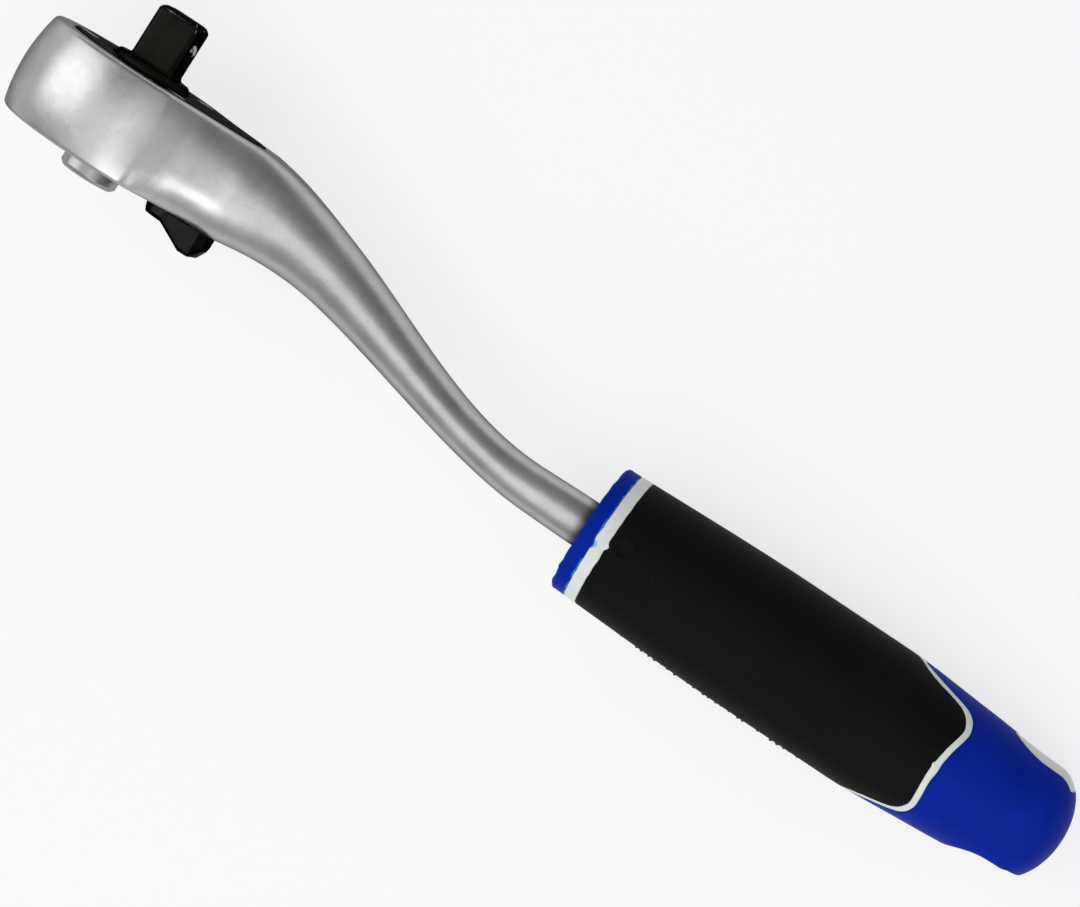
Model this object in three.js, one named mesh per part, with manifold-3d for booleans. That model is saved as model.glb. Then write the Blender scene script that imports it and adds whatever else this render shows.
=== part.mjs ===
// Offset ratchet: a quarter-inch drive ratchet with an S-bent forged arm and a three-colour moulded handle.
// Sizes are in millimetres. The origin is the centre of the square drive's end face.
// +Y points out of the drive, +X runs along the handle to its butt, and +Z is sideways,
// which is up when the tool lies on its side.

import * as THREE from "three";
import { mergeVertices } from "three/addons/utils/BufferGeometryUtils.js";
import Module from "manifold-3d";

const wasm = await Module();
wasm.setup();

// Clearances
const SEAT_GAP = 0.05; // flat faces that sit on each other
const FIT_GAP = 0.12; // pressed, screwed and moulded fits
const RUN_GAP = 0.2; // pieces that move on each other
const MESH_GAP = 0.15; // pawl teeth in the gear's gaps, taken along the radius
const EDGE_GAP = 0.45; // between the handle's colours, along the handle

// Square drive
const DRIVE_SQUARE = 6.35;
const DRIVE_LENGTH = 8.0; // tip to the collar's top
const DRIVE_EDGE = 0.5; // chamfer along the square's edges
const TIP_CHAMFER = 0.6;
const COLLAR_D = 11.3;
const COLLAR_RISE = 1.0; // above the head's face
const COLLAR_CHAMFER = 0.5;
const HUB_D = 11.6; // rear journal in the head's back wall
const HUB_SINK = 0.15; // below the head's back face

// Drive gear
const TEETH = 72;
const GEAR_D = 16.0;
const TOOTH_DEPTH = 0.4;
const TOOTH_FLAT = 0.14; // tip and root flats, as a share of the tooth pitch
const WASHER_D = 14.8;
const WASHER_THICKNESS = 0.6;

// Ball and quick release
const BALL_D = 2.0;
const BALL_PROUD = 0.45;
const BALL_FROM_TIP = 3.5;
const BUTTON_D = 8.3;
const BUTTON_PROUD = 2.75;
const BUTTON_ROUND = 0.7;
const BUTTON_TRAVEL = 1.5;
const BUTTON_FLANGE = 0.4; // how far the flange stands out under the button's head
const FLANGE_THICKNESS = 0.8;
const RING_THICKNESS = 0.6; // button ring and lever ring
const RING_BITE = 0.35; // how deep a ring sits in its groove
const RING_LIP = 0.4; // of the hub's bore, outside the button ring
const ROD_D = 3.0;
const ROD_PAST_BALL = 0.9; // rod's plain end beyond the middle of the ball
const ROD_NECK = 0.5; // depth of the rod's tapered neck
const BUTTON_WIRE = 0.5;
const BUTTON_SPRING_D = 7.2; // at the middle of the wire
const BUTTON_SPRING_LENGTH = 3.9;
const BUTTON_TURNS = 3.5;

// Head
const HEAD_D = 30.6; // at the middle of the crowned wall
const HEAD_CROWN = 0.9; // how far the wall falls back at the rims
const HEAD_THICKNESS = 13.6;
const HEAD_EDGE = 0.5;
const ARM_ROUNDNESS = 0.97; // of the arm's section, where 1 is a full ellipse
const BACK_WALL = 3.4;
const FLANK_ANGLE = 28; // slope of the pear's sides, in degrees

// Cover plate and its screws
const PLATE_D = 23.6;
const PLATE_TAIL_D = 10.8;
const PLATE_TAIL_X = 13.2;
const PLATE_THICKNESS = 1.4;
const PLATE_SINK = 0.5;
const SCREW_D = 1.7;
const SCREW_HEAD_D = 2.9;
const SCREW_HEAD_DEPTH = 0.7;
const SCREW_LENGTH = 5.0;
const SCREW_ANGLE = 50; // of the two flank screws, in degrees from the handle's side
const SCREW_SLOT_WIDTH = 0.5;
const SCREW_SLOT_DEPTH = 0.35;

// Reversing lever
const LEVER_X = 13.1;
const LEVER_DISC_D = 8.6;
const LEVER_DISC_THICKNESS = 2.1;
const LEVER_THUMB_DROP = 3.3;
const LEVER_REACH = 5.8;
const LEVER_TIP_WIDTH = 6.4;
const LEVER_BEVEL = 1.0;
const LEVER_JOURNAL_D = 4.4;
const LEVER_SHAFT_D = 3.2;
const LEVER_RING_D = 5.2;
const RING_MOUTH = 70; // opening of a snap ring, in degrees

// Plunger and pawl
const PLUNGER_D = 1.2;
const PLUNGER_LENGTH = 1.3;
const PLUNGER_REACH = 2.2; // tip from the lever's axis
const PLUNGER_WIRE = 0.2;
const PLUNGER_SPRING_LENGTH = 1.5;
const PLUNGER_TURNS = 2;
const PAWL_RELIEF = 0.35; // pawl's waist to the gear's tips
const PAWL_END_WALL = 1.5; // pawl's thickness behind its teeth
const PAWL_PAD_START = 19; // in degrees from the middle
const PAWL_PAD_END = 35;
const PAWL_ROOF = 10; // slope of the pawl's back, in degrees
const PAWL_ROCK = 7.5; // either way from the middle, in degrees
const PAWL_PIN_D = 1.2;
const PAWL_PIN_SEAT = 1.2; // pin's depth in the back wall

// Arm and shank
const OFFSET = 11.0; // head's middle to the handle's axis
const BEND_START_X = 22.2;
const BEND_END_X = 73;
const ROUND_START_X = 9; // where the head's corners begin to grow into the round arm
const NECK_X = 20;
const NECK_WIDTH = 14.4;
const SHOULDER_X = 36;
const SHOULDER_THICKNESS = 9.7;
const SHOULDER_WIDTH = 10.4;
const WAIST_X = 66;
const WAIST_THICKNESS = 6.1;
const WAIST_WIDTH = 7.4;
const SHANK_D = 6.6;
const SPADE_X = 112; // the shank is flattened from here so that the handle can't turn on it
const SPADE_LENGTH = 26;
const SPADE_THICKNESS = 4.6;
const SPADE_WIDTH = 9.0;

// Handle
const HANDLE_FRONT_X = 82;
const HANDLE_LENGTH = 73;
const FRONT_D = 18.4;
const BELLY_X = 110;
const BELLY_D = 19.8;
const BELLY_END_X = 125;
const BELLY_END_D = 19.75;
const REAR_X = 138;
const REAR_D = 18.1;
const BUTT_X = 150;
const BUTT_D = 16.4;
const BUTT_DOME = 5.2; // length of the domed end
const DOME_FULLNESS = 0.92; // of half an ellipse, which leaves a small flat at the end
const FRONT_ROUND = 0.5;
const BLUE_RING = 1.95;
const WHITE_RING = 1.6;
const SLEEVE_WALL = 2.2;
const CAP_WALL = 0.75;
const SLEEVE_VALLEY_X = 126.3; // sleeve's rear edge on the drive side and the back
const TONGUE_LENGTH = 9.4; // how much further the sleeve runs on the two sides
const TONGUE_RAMP = 48; // of the sleeve's edge, in degrees round the handle
const LINE_AT_VALLEY = 1.8; // white line's width along the handle
const LINE_AT_TONGUE = 0.9;
const LINE_RAMP = 42;
const SEAT_LAP = 1; // how far the cap's seat runs past the white line
const WINDOW_X = 141.6;
const WINDOW_ROUND = 8; // length of the window's rounded start
const WINDOW_WIDTH = 8;
const WINDOW_SILL = 6.4; // from the axis, where the dome closes each window

// Facets
const ROUND_SIDES = 36;
const SMALL_SIDES = 16;
const ARC_STEPS = 18; // on each arc of a raised outline
const COIL_STEPS = 8;
const WIRE_SIDES = 5;

// Levels along the drive's axis
const collarTop = -DRIVE_LENGTH;
const faceY = collarTop - COLLAR_RISE;
const backY = faceY - HEAD_THICKNESS;
const middleY = (faceY + backY) / 2;
const handleY = middleY - OFFSET;
const plateTop = faceY - PLATE_SINK;
const plateLow = plateTop - PLATE_THICKNESS;
const ledgeY = plateLow - SEAT_GAP;
const floorY = backY + BACK_WALL;
const washerTop = plateLow - SEAT_GAP;
const gearTop = washerTop - WASHER_THICKNESS - RUN_GAP;
const gearLow = floorY + RUN_GAP;
const hubEnd = backY + HUB_SINK;
const ballY = -BALL_FROM_TIP;

// Radii and places that several pieces share
const gearR = GEAR_D / 2;
const rootR = gearR - TOOTH_DEPTH;
const gearPocketR = gearR + RUN_GAP;
const collarR = COLLAR_D / 2;
const hubR = HUB_D / 2;
const buttonR = BUTTON_D / 2;
const flangeR = buttonR + BUTTON_FLANGE;
const flangeBoreR = flangeR + RUN_GAP;
const rodR = ROD_D / 2;
const rodBoreR = rodR + RUN_GAP;
const headR = HEAD_D / 2;
const plateR = PLATE_D / 2;
const plateTailR = PLATE_TAIL_D / 2;
const leverRingR = LEVER_RING_D / 2;
const leverShaftR = LEVER_SHAFT_D / 2;
const leverJournalR = LEVER_JOURNAL_D / 2;
const plungerR = PLUNGER_D / 2;
const leverRingLow = floorY + RUN_GAP;
const leverRingTop = leverRingLow + RING_THICKNESS;
const pawlLow = leverRingTop + RUN_GAP;
const pawlTop = plateLow - RUN_GAP;
const plungerY = (pawlLow + pawlTop) / 2;
const pawlBackX = LEVER_X - PLUNGER_REACH - RUN_GAP;
const pawlWaistX = gearR + PAWL_RELIEF;
const pawlPinX = (pawlBackX + pawlWaistX) / 2;
const pawlEndR = gearR + PAWL_END_WALL;
const screwCircleR = (gearPocketR + plateR) / 2;
const handleEndX = HANDLE_FRONT_X + HANDLE_LENGTH;
const ringX = HANDLE_FRONT_X + BLUE_RING;
const sleeveX = ringX + WHITE_RING;

// Plain formulas

function radians(degrees) {
  return THREE.MathUtils.degToRad(degrees);
}

function smooth(value) {
  return THREE.MathUtils.smoothstep(value, 0, 1);
}

// Smooth curve through a few points that never swings past them
function through(points) {
  const secants = points.slice(1).map((p, i) => (p[1] - points[i][1]) / (p[0] - points[i][0]));
  const slopes = points.map((_, i) => {
    const before = secants[Math.max(i - 1, 0)];
    const after = secants[Math.min(i, secants.length - 1)];
    return before * after <= 0 ? 0 : (2 * before * after) / (before + after);
  });
  return (x) => {
    const last = points.length - 2;
    let i = 0;
    while (i < last && x > points[i + 1][0]) {
      i += 1;
    }
    const width = points[i + 1][0] - points[i][0];
    const t = THREE.MathUtils.clamp((x - points[i][0]) / width, 0, 1);
    const rise = points[i + 1][1] - points[i][1];
    const lift = slopes[i] * width - rise;
    const drop = rise - slopes[i + 1] * width;
    return points[i][1] + t * rise + t * (1 - t) * (lift * (1 - t) + drop * t);
  };
}

// Solids from geometries, turned so that their faces point out

function solid(geometry) {
  const bare = geometry.index ? geometry.toNonIndexed() : geometry.clone();
  bare.deleteAttribute("normal");
  bare.deleteAttribute("uv");
  const merged = mergeVertices(bare, 1e-4);
  const corners = merged.index.array;
  const triangles = [];
  for (let i = 0; i < corners.length; i += 3) {
    const [a, b, c] = [corners[i], corners[i + 1], corners[i + 2]];
    if (a !== b && b !== c && c !== a) {
      triangles.push(a, b, c);
    }
  }
  const vertProperties = new Float32Array(merged.attributes.position.array);
  const body = manifold(vertProperties, triangles);
  return body.volume() > 0 ? body : manifold(vertProperties, triangles.reverse());
}

function manifold(vertProperties, triangles) {
  const triVerts = new Uint32Array(triangles);
  return new wasm.Manifold(new wasm.Mesh({ numProp: 3, vertProperties, triVerts }));
}

function geometryOf(body) {
  const mesh = body.getMesh();
  const geometry = new THREE.BufferGeometry();
  geometry.setAttribute("position", new THREE.BufferAttribute(new Float32Array(mesh.vertProperties), 3));
  geometry.setIndex(new THREE.BufferAttribute(new Uint32Array(mesh.triVerts), 1));
  geometry.computeVertexNormals();
  return geometry;
}

// Piece turned about the drive's direction, from radius and height pairs
function turned(profile, sides = ROUND_SIDES) {
  const points = profile.map(([r, y]) => new THREE.Vector2(Math.max(r, 0), y));
  return solid(new THREE.LatheGeometry(points, sides));
}

// Ring turned about the drive's direction
function turnedRing(inner, outer, low, high, sides = ROUND_SIDES) {
  return turned([[inner, low], [outer, low], [outer, high], [inner, high], [inner, low]], sides);
}

function turnedDisc(radius, low, high, sides = ROUND_SIDES) {
  return turned([[0, low], [radius, low], [radius, high], [0, high]], sides);
}

// Outline in plan (x, z) raised along the drive's direction
function raised(shape, low, high) {
  const geometry = new THREE.ExtrudeGeometry(shape, {
    depth: high - low,
    bevelEnabled: false,
    curveSegments: ARC_STEPS,
  });
  geometry.rotateX(-Math.PI / 2);
  return solid(geometry.translate(0, low, 0));
}

// Round bar along the handle's direction
function barAlongX(radius, start, end, y, z = 0, sides = SMALL_SIDES) {
  const geometry = new THREE.CylinderGeometry(radius, radius, end - start, sides);
  geometry.rotateZ(Math.PI / 2);
  return solid(geometry.translate((start + end) / 2, y, z));
}

// Skin over a row of rings: a closed chain makes a tube wall, and an open one is bridged across at both ends
function skin(rings, closed = false) {
  const count = rings[0].length;
  const positions = rings.flat();
  const triangles = [];
  const spans = closed ? rings.length : rings.length - 1;
  for (let i = 0; i < spans; i += 1) {
    const here = i * count;
    const next = ((i + 1) % rings.length) * count;
    for (let k = 0; k < count; k += 1) {
      const m = (k + 1) % count;
      triangles.push(here + k, here + m, next + m, here + k, next + m, next + k);
    }
  }
  if (!closed) {
    const last = (rings.length - 1) * count;
    for (let k = 0; k < count / 2 - 1; k += 1) {
      const [a, b, c, d] = [k, k + 1, count - 2 - k, count - 1 - k];
      triangles.push(a, c, b, a, d, c);
      triangles.push(last + a, last + b, last + c, last + a, last + c, last + d);
    }
  }
  const geometry = new THREE.BufferGeometry().setFromPoints(positions);
  geometry.setIndex(triangles);
  return solid(geometry);
}

// Coil spring about the Y axis from y = 0: one unbroken wire, whose least gap to itself is printed
function coil(name, coilD, wireD, length, turns) {
  const rise = length - wireD;
  const steps = Math.round(turns * COIL_STEPS);
  const wirePoint = (step, outward, lift) => {
    const angle = (step / COIL_STEPS) * 2 * Math.PI;
    const radius = coilD / 2 + outward;
    const y = wireD / 2 + (step / steps) * rise + lift;
    return new THREE.Vector3(radius * Math.cos(angle), y, radius * Math.sin(angle));
  };
  const rings = Array.from({ length: steps + 1 }, (_, step) => Array.from({ length: WIRE_SIDES }, (_, k) => {
    const around = (k / WIRE_SIDES) * 2 * Math.PI;
    return wirePoint(step, (wireD / 2) * Math.cos(around), (wireD / 2) * Math.sin(around));
  }));
  const middles = rings.map((_, step) => wirePoint(step, 0, 0));
  const gaps = middles.flatMap((point, i) => middles.slice(i + COIL_STEPS / 2)
    .map((other) => point.distanceTo(other) - wireD));
  console.log(`${name}: least gap between curls ${Math.min(...gaps).toFixed(2)} mm`);
  return skin(rings);
}

// Drive, ball and quick release

function gearShape(grow) {
  const pitch = (2 * Math.PI) / TEETH;
  const flat = (TOOTH_FLAT * pitch) / 2;
  const shape = new THREE.Shape();
  for (let i = 0; i < TEETH; i += 1) {
    const corners = [[gearR, -flat], [gearR, flat], [rootR, pitch / 2 - flat], [rootR, pitch / 2 + flat]];
    corners.forEach(([radius, turn], k) => {
      const angle = i * pitch + turn;
      const x = (radius + grow) * Math.cos(angle);
      const z = (radius + grow) * Math.sin(angle);
      if (i === 0 && k === 0) {
        shape.moveTo(x, z);
      } else {
        shape.lineTo(x, z);
      }
    });
  }
  return shape;
}

function squareRing(half, chamfer, y) {
  const flat = half - chamfer;
  const corners = [[half, -flat], [half, flat], [flat, half], [-flat, half]];
  const ring = [...corners, ...corners.map(([x, z]) => [-x, -z])];
  return ring.map(([x, z]) => new THREE.Vector3(x, y, z));
}

const ballX = DRIVE_SQUARE / 2 + BALL_PROUD - BALL_D / 2;
const ringLow = hubEnd + RING_LIP;
const ringHigh = ringLow + RING_THICKNESS;
const flangeLow = ringHigh + SEAT_GAP;
const flangeHigh = flangeLow + FLANGE_THICKNESS;
const springSeatY = flangeHigh + BUTTON_SPRING_LENGTH + 2 * SEAT_GAP;
const rodEndY = ballY + ROD_PAST_BALL;
const rodBoreEndY = rodEndY + BUTTON_TRAVEL + RUN_GAP;

function makeDriveGear() {
  const half = DRIVE_SQUARE / 2;
  const square = skin([
    squareRing(half, DRIVE_EDGE, gearTop),
    squareRing(half, DRIVE_EDGE, -TIP_CHAMFER),
    squareRing(half - TIP_CHAMFER, DRIVE_EDGE, 0),
  ]);
  const spindle = turned([
    [0, hubEnd],
    [hubR, hubEnd],
    [hubR, gearTop - SEAT_GAP],
    [collarR, gearTop - SEAT_GAP],
    [collarR, collarTop - COLLAR_CHAMFER],
    [collarR - COLLAR_CHAMFER, collarTop],
    [0, collarTop],
  ]);
  const bore = turned([
    [0, backY - BUTTON_PROUD],
    [flangeBoreR, backY - BUTTON_PROUD],
    [flangeBoreR, springSeatY],
    [rodBoreR, springSeatY],
    [rodBoreR, rodBoreEndY],
    [0, rodBoreEndY],
  ]);
  const ringGroove = turnedDisc(flangeBoreR + RING_BITE, ringLow - SEAT_GAP, ringHigh + SEAT_GAP);
  const ballHole = barAlongX(BALL_D / 2 + FIT_GAP, 0, DRIVE_SQUARE, ballY);
  return raised(gearShape(0), gearLow, gearTop)
    .add(spindle)
    .add(square)
    .subtract(bore)
    .subtract(ringGroove)
    .subtract(ballHole);
}

function makeReleaseButton() {
  const neckEnd = ballY - BUTTON_TRAVEL;
  const tip = backY - BUTTON_PROUD;
  return turned([
    [0, tip],
    [buttonR - BUTTON_ROUND, tip],
    [buttonR - 0.3 * BUTTON_ROUND, tip + 0.3 * BUTTON_ROUND],
    [buttonR, tip + BUTTON_ROUND],
    [buttonR, flangeLow],
    [flangeR, flangeLow],
    [flangeR, flangeHigh],
    [rodR, flangeHigh],
    [rodR, neckEnd - 2 * ROD_NECK],
    [rodR - ROD_NECK, neckEnd - ROD_NECK],
    [rodR - ROD_NECK, neckEnd],
    [rodR, ballY],
    [rodR, rodEndY],
    [0, rodEndY],
  ], SMALL_SIDES);
}

function makeButtonRing() {
  const outer = flangeBoreR + RING_BITE - FIT_GAP;
  return raised(snapRing(buttonR + RUN_GAP, outer), ringLow, ringHigh);
}

// Open ring with its mouth towards the handle
function snapRing(inner, outer) {
  const mouth = radians(RING_MOUTH / 2);
  const shape = new THREE.Shape();
  shape.absarc(0, 0, outer, mouth, 2 * Math.PI - mouth, false);
  shape.absarc(0, 0, inner, 2 * Math.PI - mouth, mouth, true);
  shape.closePath();
  return shape;
}

function makeButtonSpring() {
  return coil("button_spring", BUTTON_SPRING_D, BUTTON_WIRE, BUTTON_SPRING_LENGTH, BUTTON_TURNS)
    .translate([0, flangeHigh + SEAT_GAP, 0]);
}

function makeDetentBall() {
  const geometry = new THREE.SphereGeometry(BALL_D / 2, SMALL_SIDES, SMALL_SIDES / 2);
  return solid(geometry.rotateZ(Math.PI / 2).translate(ballX, ballY, 0));
}

function makeThrustWasher() {
  return turnedRing(collarR + RUN_GAP, WASHER_D / 2, washerTop - WASHER_THICKNESS, washerTop);
}

// Cover plate and screws

// Large and small circle joined by their two outer tangents
function pearShape(grow) {
  const large = plateR + grow;
  const small = plateTailR + grow;
  const tangent = Math.acos((large - small) / PLATE_TAIL_X);
  const shape = new THREE.Shape();
  shape.absarc(0, 0, large, tangent, 2 * Math.PI - tangent, false);
  shape.absarc(PLATE_TAIL_X, 0, small, -tangent, tangent, false);
  shape.closePath();
  return shape;
}

const screwPlaces = [
  ["cover_screw_nose", 180],
  ["cover_screw_left", SCREW_ANGLE],
  ["cover_screw_right", -SCREW_ANGLE],
].map(([name, degrees]) => {
  const angle = radians(degrees);
  return { name, x: screwCircleR * Math.cos(angle), z: screwCircleR * Math.sin(angle) };
});

// Countersunk screw standing on its head's plane at y = 0, grown by a clearance when it cuts its hole
function screwForm(grow, above) {
  const coneEnd = -SCREW_HEAD_DEPTH - grow;
  return turned([
    [0, -SCREW_LENGTH - grow],
    [SCREW_D / 2 + grow, -SCREW_LENGTH - grow],
    [SCREW_D / 2 + grow, coneEnd],
    [SCREW_HEAD_D / 2 + grow, -grow],
    [SCREW_HEAD_D / 2 + grow, above],
    [0, above],
  ], SMALL_SIDES);
}

function makeCoverScrew({ x, z }) {
  const slot = new THREE.BoxGeometry(SCREW_HEAD_D * 2, SCREW_SLOT_DEPTH * 2, SCREW_SLOT_WIDTH);
  return screwForm(0, SEAT_GAP)
    .subtract(solid(slot))
    .translate([x, plateTop - 2 * SEAT_GAP, z]);
}

function screwHole({ x, z }) {
  return screwForm(FIT_GAP, PLATE_THICKNESS).translate([x, plateTop - 2 * SEAT_GAP, z]);
}

function makeCoverPlate() {
  let plate = raised(pearShape(0), plateLow, plateTop);
  plate = plate.subtract(turnedDisc(collarR + RUN_GAP, ledgeY, faceY));
  return screwPlaces.reduce((body, place) => body.subtract(screwHole(place)), plate);
}

// Forged body: pear head, S-bent arm and the shank inside the handle

const neckSlopeX = headR * Math.sin(radians(FLANK_ANGLE));
const neckSlopeHalf = headR * Math.cos(radians(FLANK_ANGLE));
const armHalfWidth = through([
  [neckSlopeX, neckSlopeHalf],
  [NECK_X, NECK_WIDTH / 2],
  [SHOULDER_X, SHOULDER_WIDTH / 2],
  [WAIST_X, WAIST_WIDTH / 2],
  [HANDLE_FRONT_X, SHANK_D / 2],
  [(HANDLE_FRONT_X + SPADE_X) / 2, SHANK_D / 2],
  [SPADE_X, SPADE_WIDTH / 2],
]);
const armHalfThickness = through([
  [NECK_X, HEAD_THICKNESS / 2],
  [SHOULDER_X, SHOULDER_THICKNESS / 2],
  [WAIST_X, WAIST_THICKNESS / 2],
  [HANDLE_FRONT_X, SHANK_D / 2],
  [(HANDLE_FRONT_X + SPADE_X) / 2, SHANK_D / 2],
  [SPADE_X, SPADE_THICKNESS / 2],
]);

function armMiddle(x) {
  return middleY - OFFSET * smooth((x - BEND_START_X) / (BEND_END_X - BEND_START_X));
}

// How far the section has turned from a crowned block into an ellipse
function armRoundness(x) {
  return ARM_ROUNDNESS * smooth((x - ROUND_START_X) / (SHOULDER_X - ROUND_START_X));
}

// One side of a section from top to bottom, as [sideways, height] pairs: corner arc, crowned wall, corner arc
function sideProfile(halfWidth, halfThickness, roundness) {
  const cornerWide = THREE.MathUtils.lerp(HEAD_EDGE, halfWidth, roundness);
  const cornerHigh = THREE.MathUtils.lerp(HEAD_EDGE, halfThickness, roundness);
  const crown = HEAD_CROWN * (1 - roundness);
  const wall = (height) => halfWidth - crown * (height / halfThickness) ** 2;
  const arc = [90, 60, 30, 0].map((degrees) => {
    const turn = radians(degrees);
    const straight = halfThickness - cornerHigh;
    return [wall(straight) - cornerWide * (1 - Math.cos(turn)), straight + cornerHigh * Math.sin(turn)];
  });
  const half = (halfThickness - cornerHigh) / 2;
  const upper = [...arc, [wall(half), half]];
  const lower = upper.map(([wide, height]) => [wide, -height]).reverse();
  return [...upper, [wall(0), 0], ...lower];
}

// Ring round the head's nose, at a plan angle from straight ahead
function noseRing(degrees) {
  const turn = radians(degrees);
  const profile = sideProfile(headR, HEAD_THICKNESS / 2, 0);
  const point = (side) => ([wide, height]) => new THREE.Vector3(
    -wide * Math.cos(turn), middleY + height, side * wide * Math.sin(turn));
  return [...profile.map(point(1)), ...profile.map(point(-1)).reverse()];
}

// Ring across the neck, arm or shank at one place along the handle
function armRing(x, grow = 0) {
  const profile = sideProfile(armHalfWidth(x) + grow, armHalfThickness(x) + grow, armRoundness(x));
  const point = (side) => ([wide, height]) => new THREE.Vector3(x, armMiddle(x) + height, side * wide);
  return [...profile.map(point(1)), ...profile.map(point(-1)).reverse()];
}

function evenly(start, end, count) {
  return Array.from({ length: count + 1 }, (_, i) => THREE.MathUtils.lerp(start, end, i / count));
}

const spadeEndX = SPADE_X + SPADE_LENGTH;
const shankPlaces = [...evenly(HANDLE_FRONT_X, SPADE_X, 6), spadeEndX];

function makeForgedBody() {
  const noseAngles = [...evenly(5, 85, 8), 90 + FLANK_ANGLE / 3, 90 + (2 * FLANK_ANGLE) / 3];
  const rings = [
    ...noseAngles.map(noseRing),
    ...evenly(neckSlopeX, NECK_X, 4).map((x) => armRing(x)),
    ...evenly(NECK_X, SHOULDER_X, 6).slice(1).map((x) => armRing(x)),
    ...evenly(SHOULDER_X, HANDLE_FRONT_X, 12).slice(1, -1).map((x) => armRing(x)),
    ...shankPlaces.map((x) => armRing(x)),
  ];
  const outside = backY - HEAD_EDGE;
  const hole = (x, radius, low) => turnedDisc(radius, low, faceY, SMALL_SIDES).translate([x, 0, 0]);
  const pockets = [
    raised(pearShape(FIT_GAP), ledgeY, faceY + HEAD_EDGE),
    turnedDisc(gearPocketR, floorY, faceY),
    turnedDisc(pawlReach + RUN_GAP, floorY, faceY).translate([pawlPinX, 0, 0]),
    turnedDisc(hubR + RUN_GAP, outside, faceY),
    hole(LEVER_X, leverRingR + 2 * RUN_GAP, floorY),
    hole(LEVER_X, leverJournalR + RUN_GAP, outside),
    hole(pawlPinX, PAWL_PIN_D / 2 + FIT_GAP, floorY - PAWL_PIN_SEAT),
    ...screwPlaces.map(screwHole),
  ];
  return pockets.reduce((body, pocket) => body.subtract(pocket), skin(rings));
}

// Space that the shank takes in the handle
function shankSpace() {
  const places = [HANDLE_FRONT_X - BLUE_RING, ...shankPlaces.slice(0, -1), spadeEndX + FIT_GAP];
  return skin(places.map((x) => armRing(x, FIT_GAP)));
}

// Reversing lever, its ring, plunger and spring

function makeLever() {
  const discR = LEVER_DISC_D / 2;
  const top = backY - RUN_GAP;
  const side = new THREE.Shape([
    [-discR, top],
    [-discR, top - LEVER_DISC_THICKNESS + LEVER_BEVEL],
    [-discR + LEVER_BEVEL, top - LEVER_DISC_THICKNESS],
    [0, top - LEVER_DISC_THICKNESS],
    [LEVER_REACH - 2 * LEVER_BEVEL, top - LEVER_THUMB_DROP],
    [LEVER_REACH - LEVER_BEVEL, top - LEVER_THUMB_DROP],
    [LEVER_REACH, top - LEVER_THUMB_DROP + 1.5 * LEVER_BEVEL],
    [LEVER_REACH, top],
  ].map(([x, y]) => new THREE.Vector2(x, y)));
  const sideForm = new THREE.ExtrudeGeometry(side, { depth: LEVER_DISC_D, bevelEnabled: false });
  const half = LEVER_TIP_WIDTH / 2;
  const plan = new THREE.Shape();
  plan.moveTo(LEVER_REACH, LEVER_BEVEL - half);
  plan.lineTo(LEVER_REACH, half - LEVER_BEVEL);
  plan.lineTo(LEVER_REACH - LEVER_BEVEL, half);
  plan.lineTo(0, discR);
  plan.absarc(0, 0, discR, Math.PI / 2, 1.5 * Math.PI, false);
  plan.lineTo(LEVER_REACH - LEVER_BEVEL, -half);
  plan.closePath();
  const thumb = solid(sideForm.translate(0, 0, -discR))
    .intersect(raised(plan, top - LEVER_THUMB_DROP, top));
  const grooveR = leverShaftR - RING_BITE;
  const shaft = turned([
    [0, top - LEVER_DISC_THICKNESS / 2],
    [leverJournalR, top - LEVER_DISC_THICKNESS / 2],
    [leverJournalR, floorY],
    [leverShaftR, floorY],
    [leverShaftR, leverRingLow - SEAT_GAP],
    [grooveR, leverRingLow - SEAT_GAP],
    [grooveR, leverRingTop + SEAT_GAP],
    [leverShaftR, leverRingTop + SEAT_GAP],
    [leverShaftR, plateLow - RUN_GAP],
    [0, plateLow - RUN_GAP],
  ], SMALL_SIDES);
  const hole = barAlongX(plungerR + FIT_GAP, -LEVER_SHAFT_D, plungerHoleEnd, plungerY);
  return thumb.add(shaft).subtract(hole).translate([LEVER_X, 0, 0]);
}

const plungerBack = PLUNGER_LENGTH - PLUNGER_REACH; // from the lever's axis
const plungerHoleEnd = plungerBack + PLUNGER_SPRING_LENGTH + 2 * SEAT_GAP;

function makeLeverRing() {
  return raised(snapRing(leverShaftR - RING_BITE + FIT_GAP, leverRingR), leverRingLow, leverRingTop)
    .translate([LEVER_X, 0, 0]);
}

function makeLeverPlunger() {
  const nose = new THREE.SphereGeometry(plungerR, SMALL_SIDES, SMALL_SIDES / 2).rotateZ(Math.PI / 2);
  const noseX = plungerR - PLUNGER_REACH;
  return barAlongX(plungerR, noseX, plungerBack, plungerY)
    .add(solid(nose.translate(noseX, plungerY, 0)))
    .translate([LEVER_X, 0, 0]);
}

function makePlungerSpring() {
  const coilD = PLUNGER_D - PLUNGER_WIRE;
  return coil("plunger_spring", coilD, PLUNGER_WIRE, PLUNGER_SPRING_LENGTH, PLUNGER_TURNS)
    .rotate([0, 0, -90])
    .translate([LEVER_X + plungerBack + SEAT_GAP, plungerY, 0]);
}

// Pawl: a rocker on its pin, whose two toothed pads take turns in the gear

const pawlEndX = pawlEndR * Math.cos(radians(PAWL_PAD_END));
const pawlEndZ = pawlEndR * Math.sin(radians(PAWL_PAD_END));
const pawlReach = Math.hypot(pawlPinX - pawlEndX, pawlEndZ);

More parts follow.
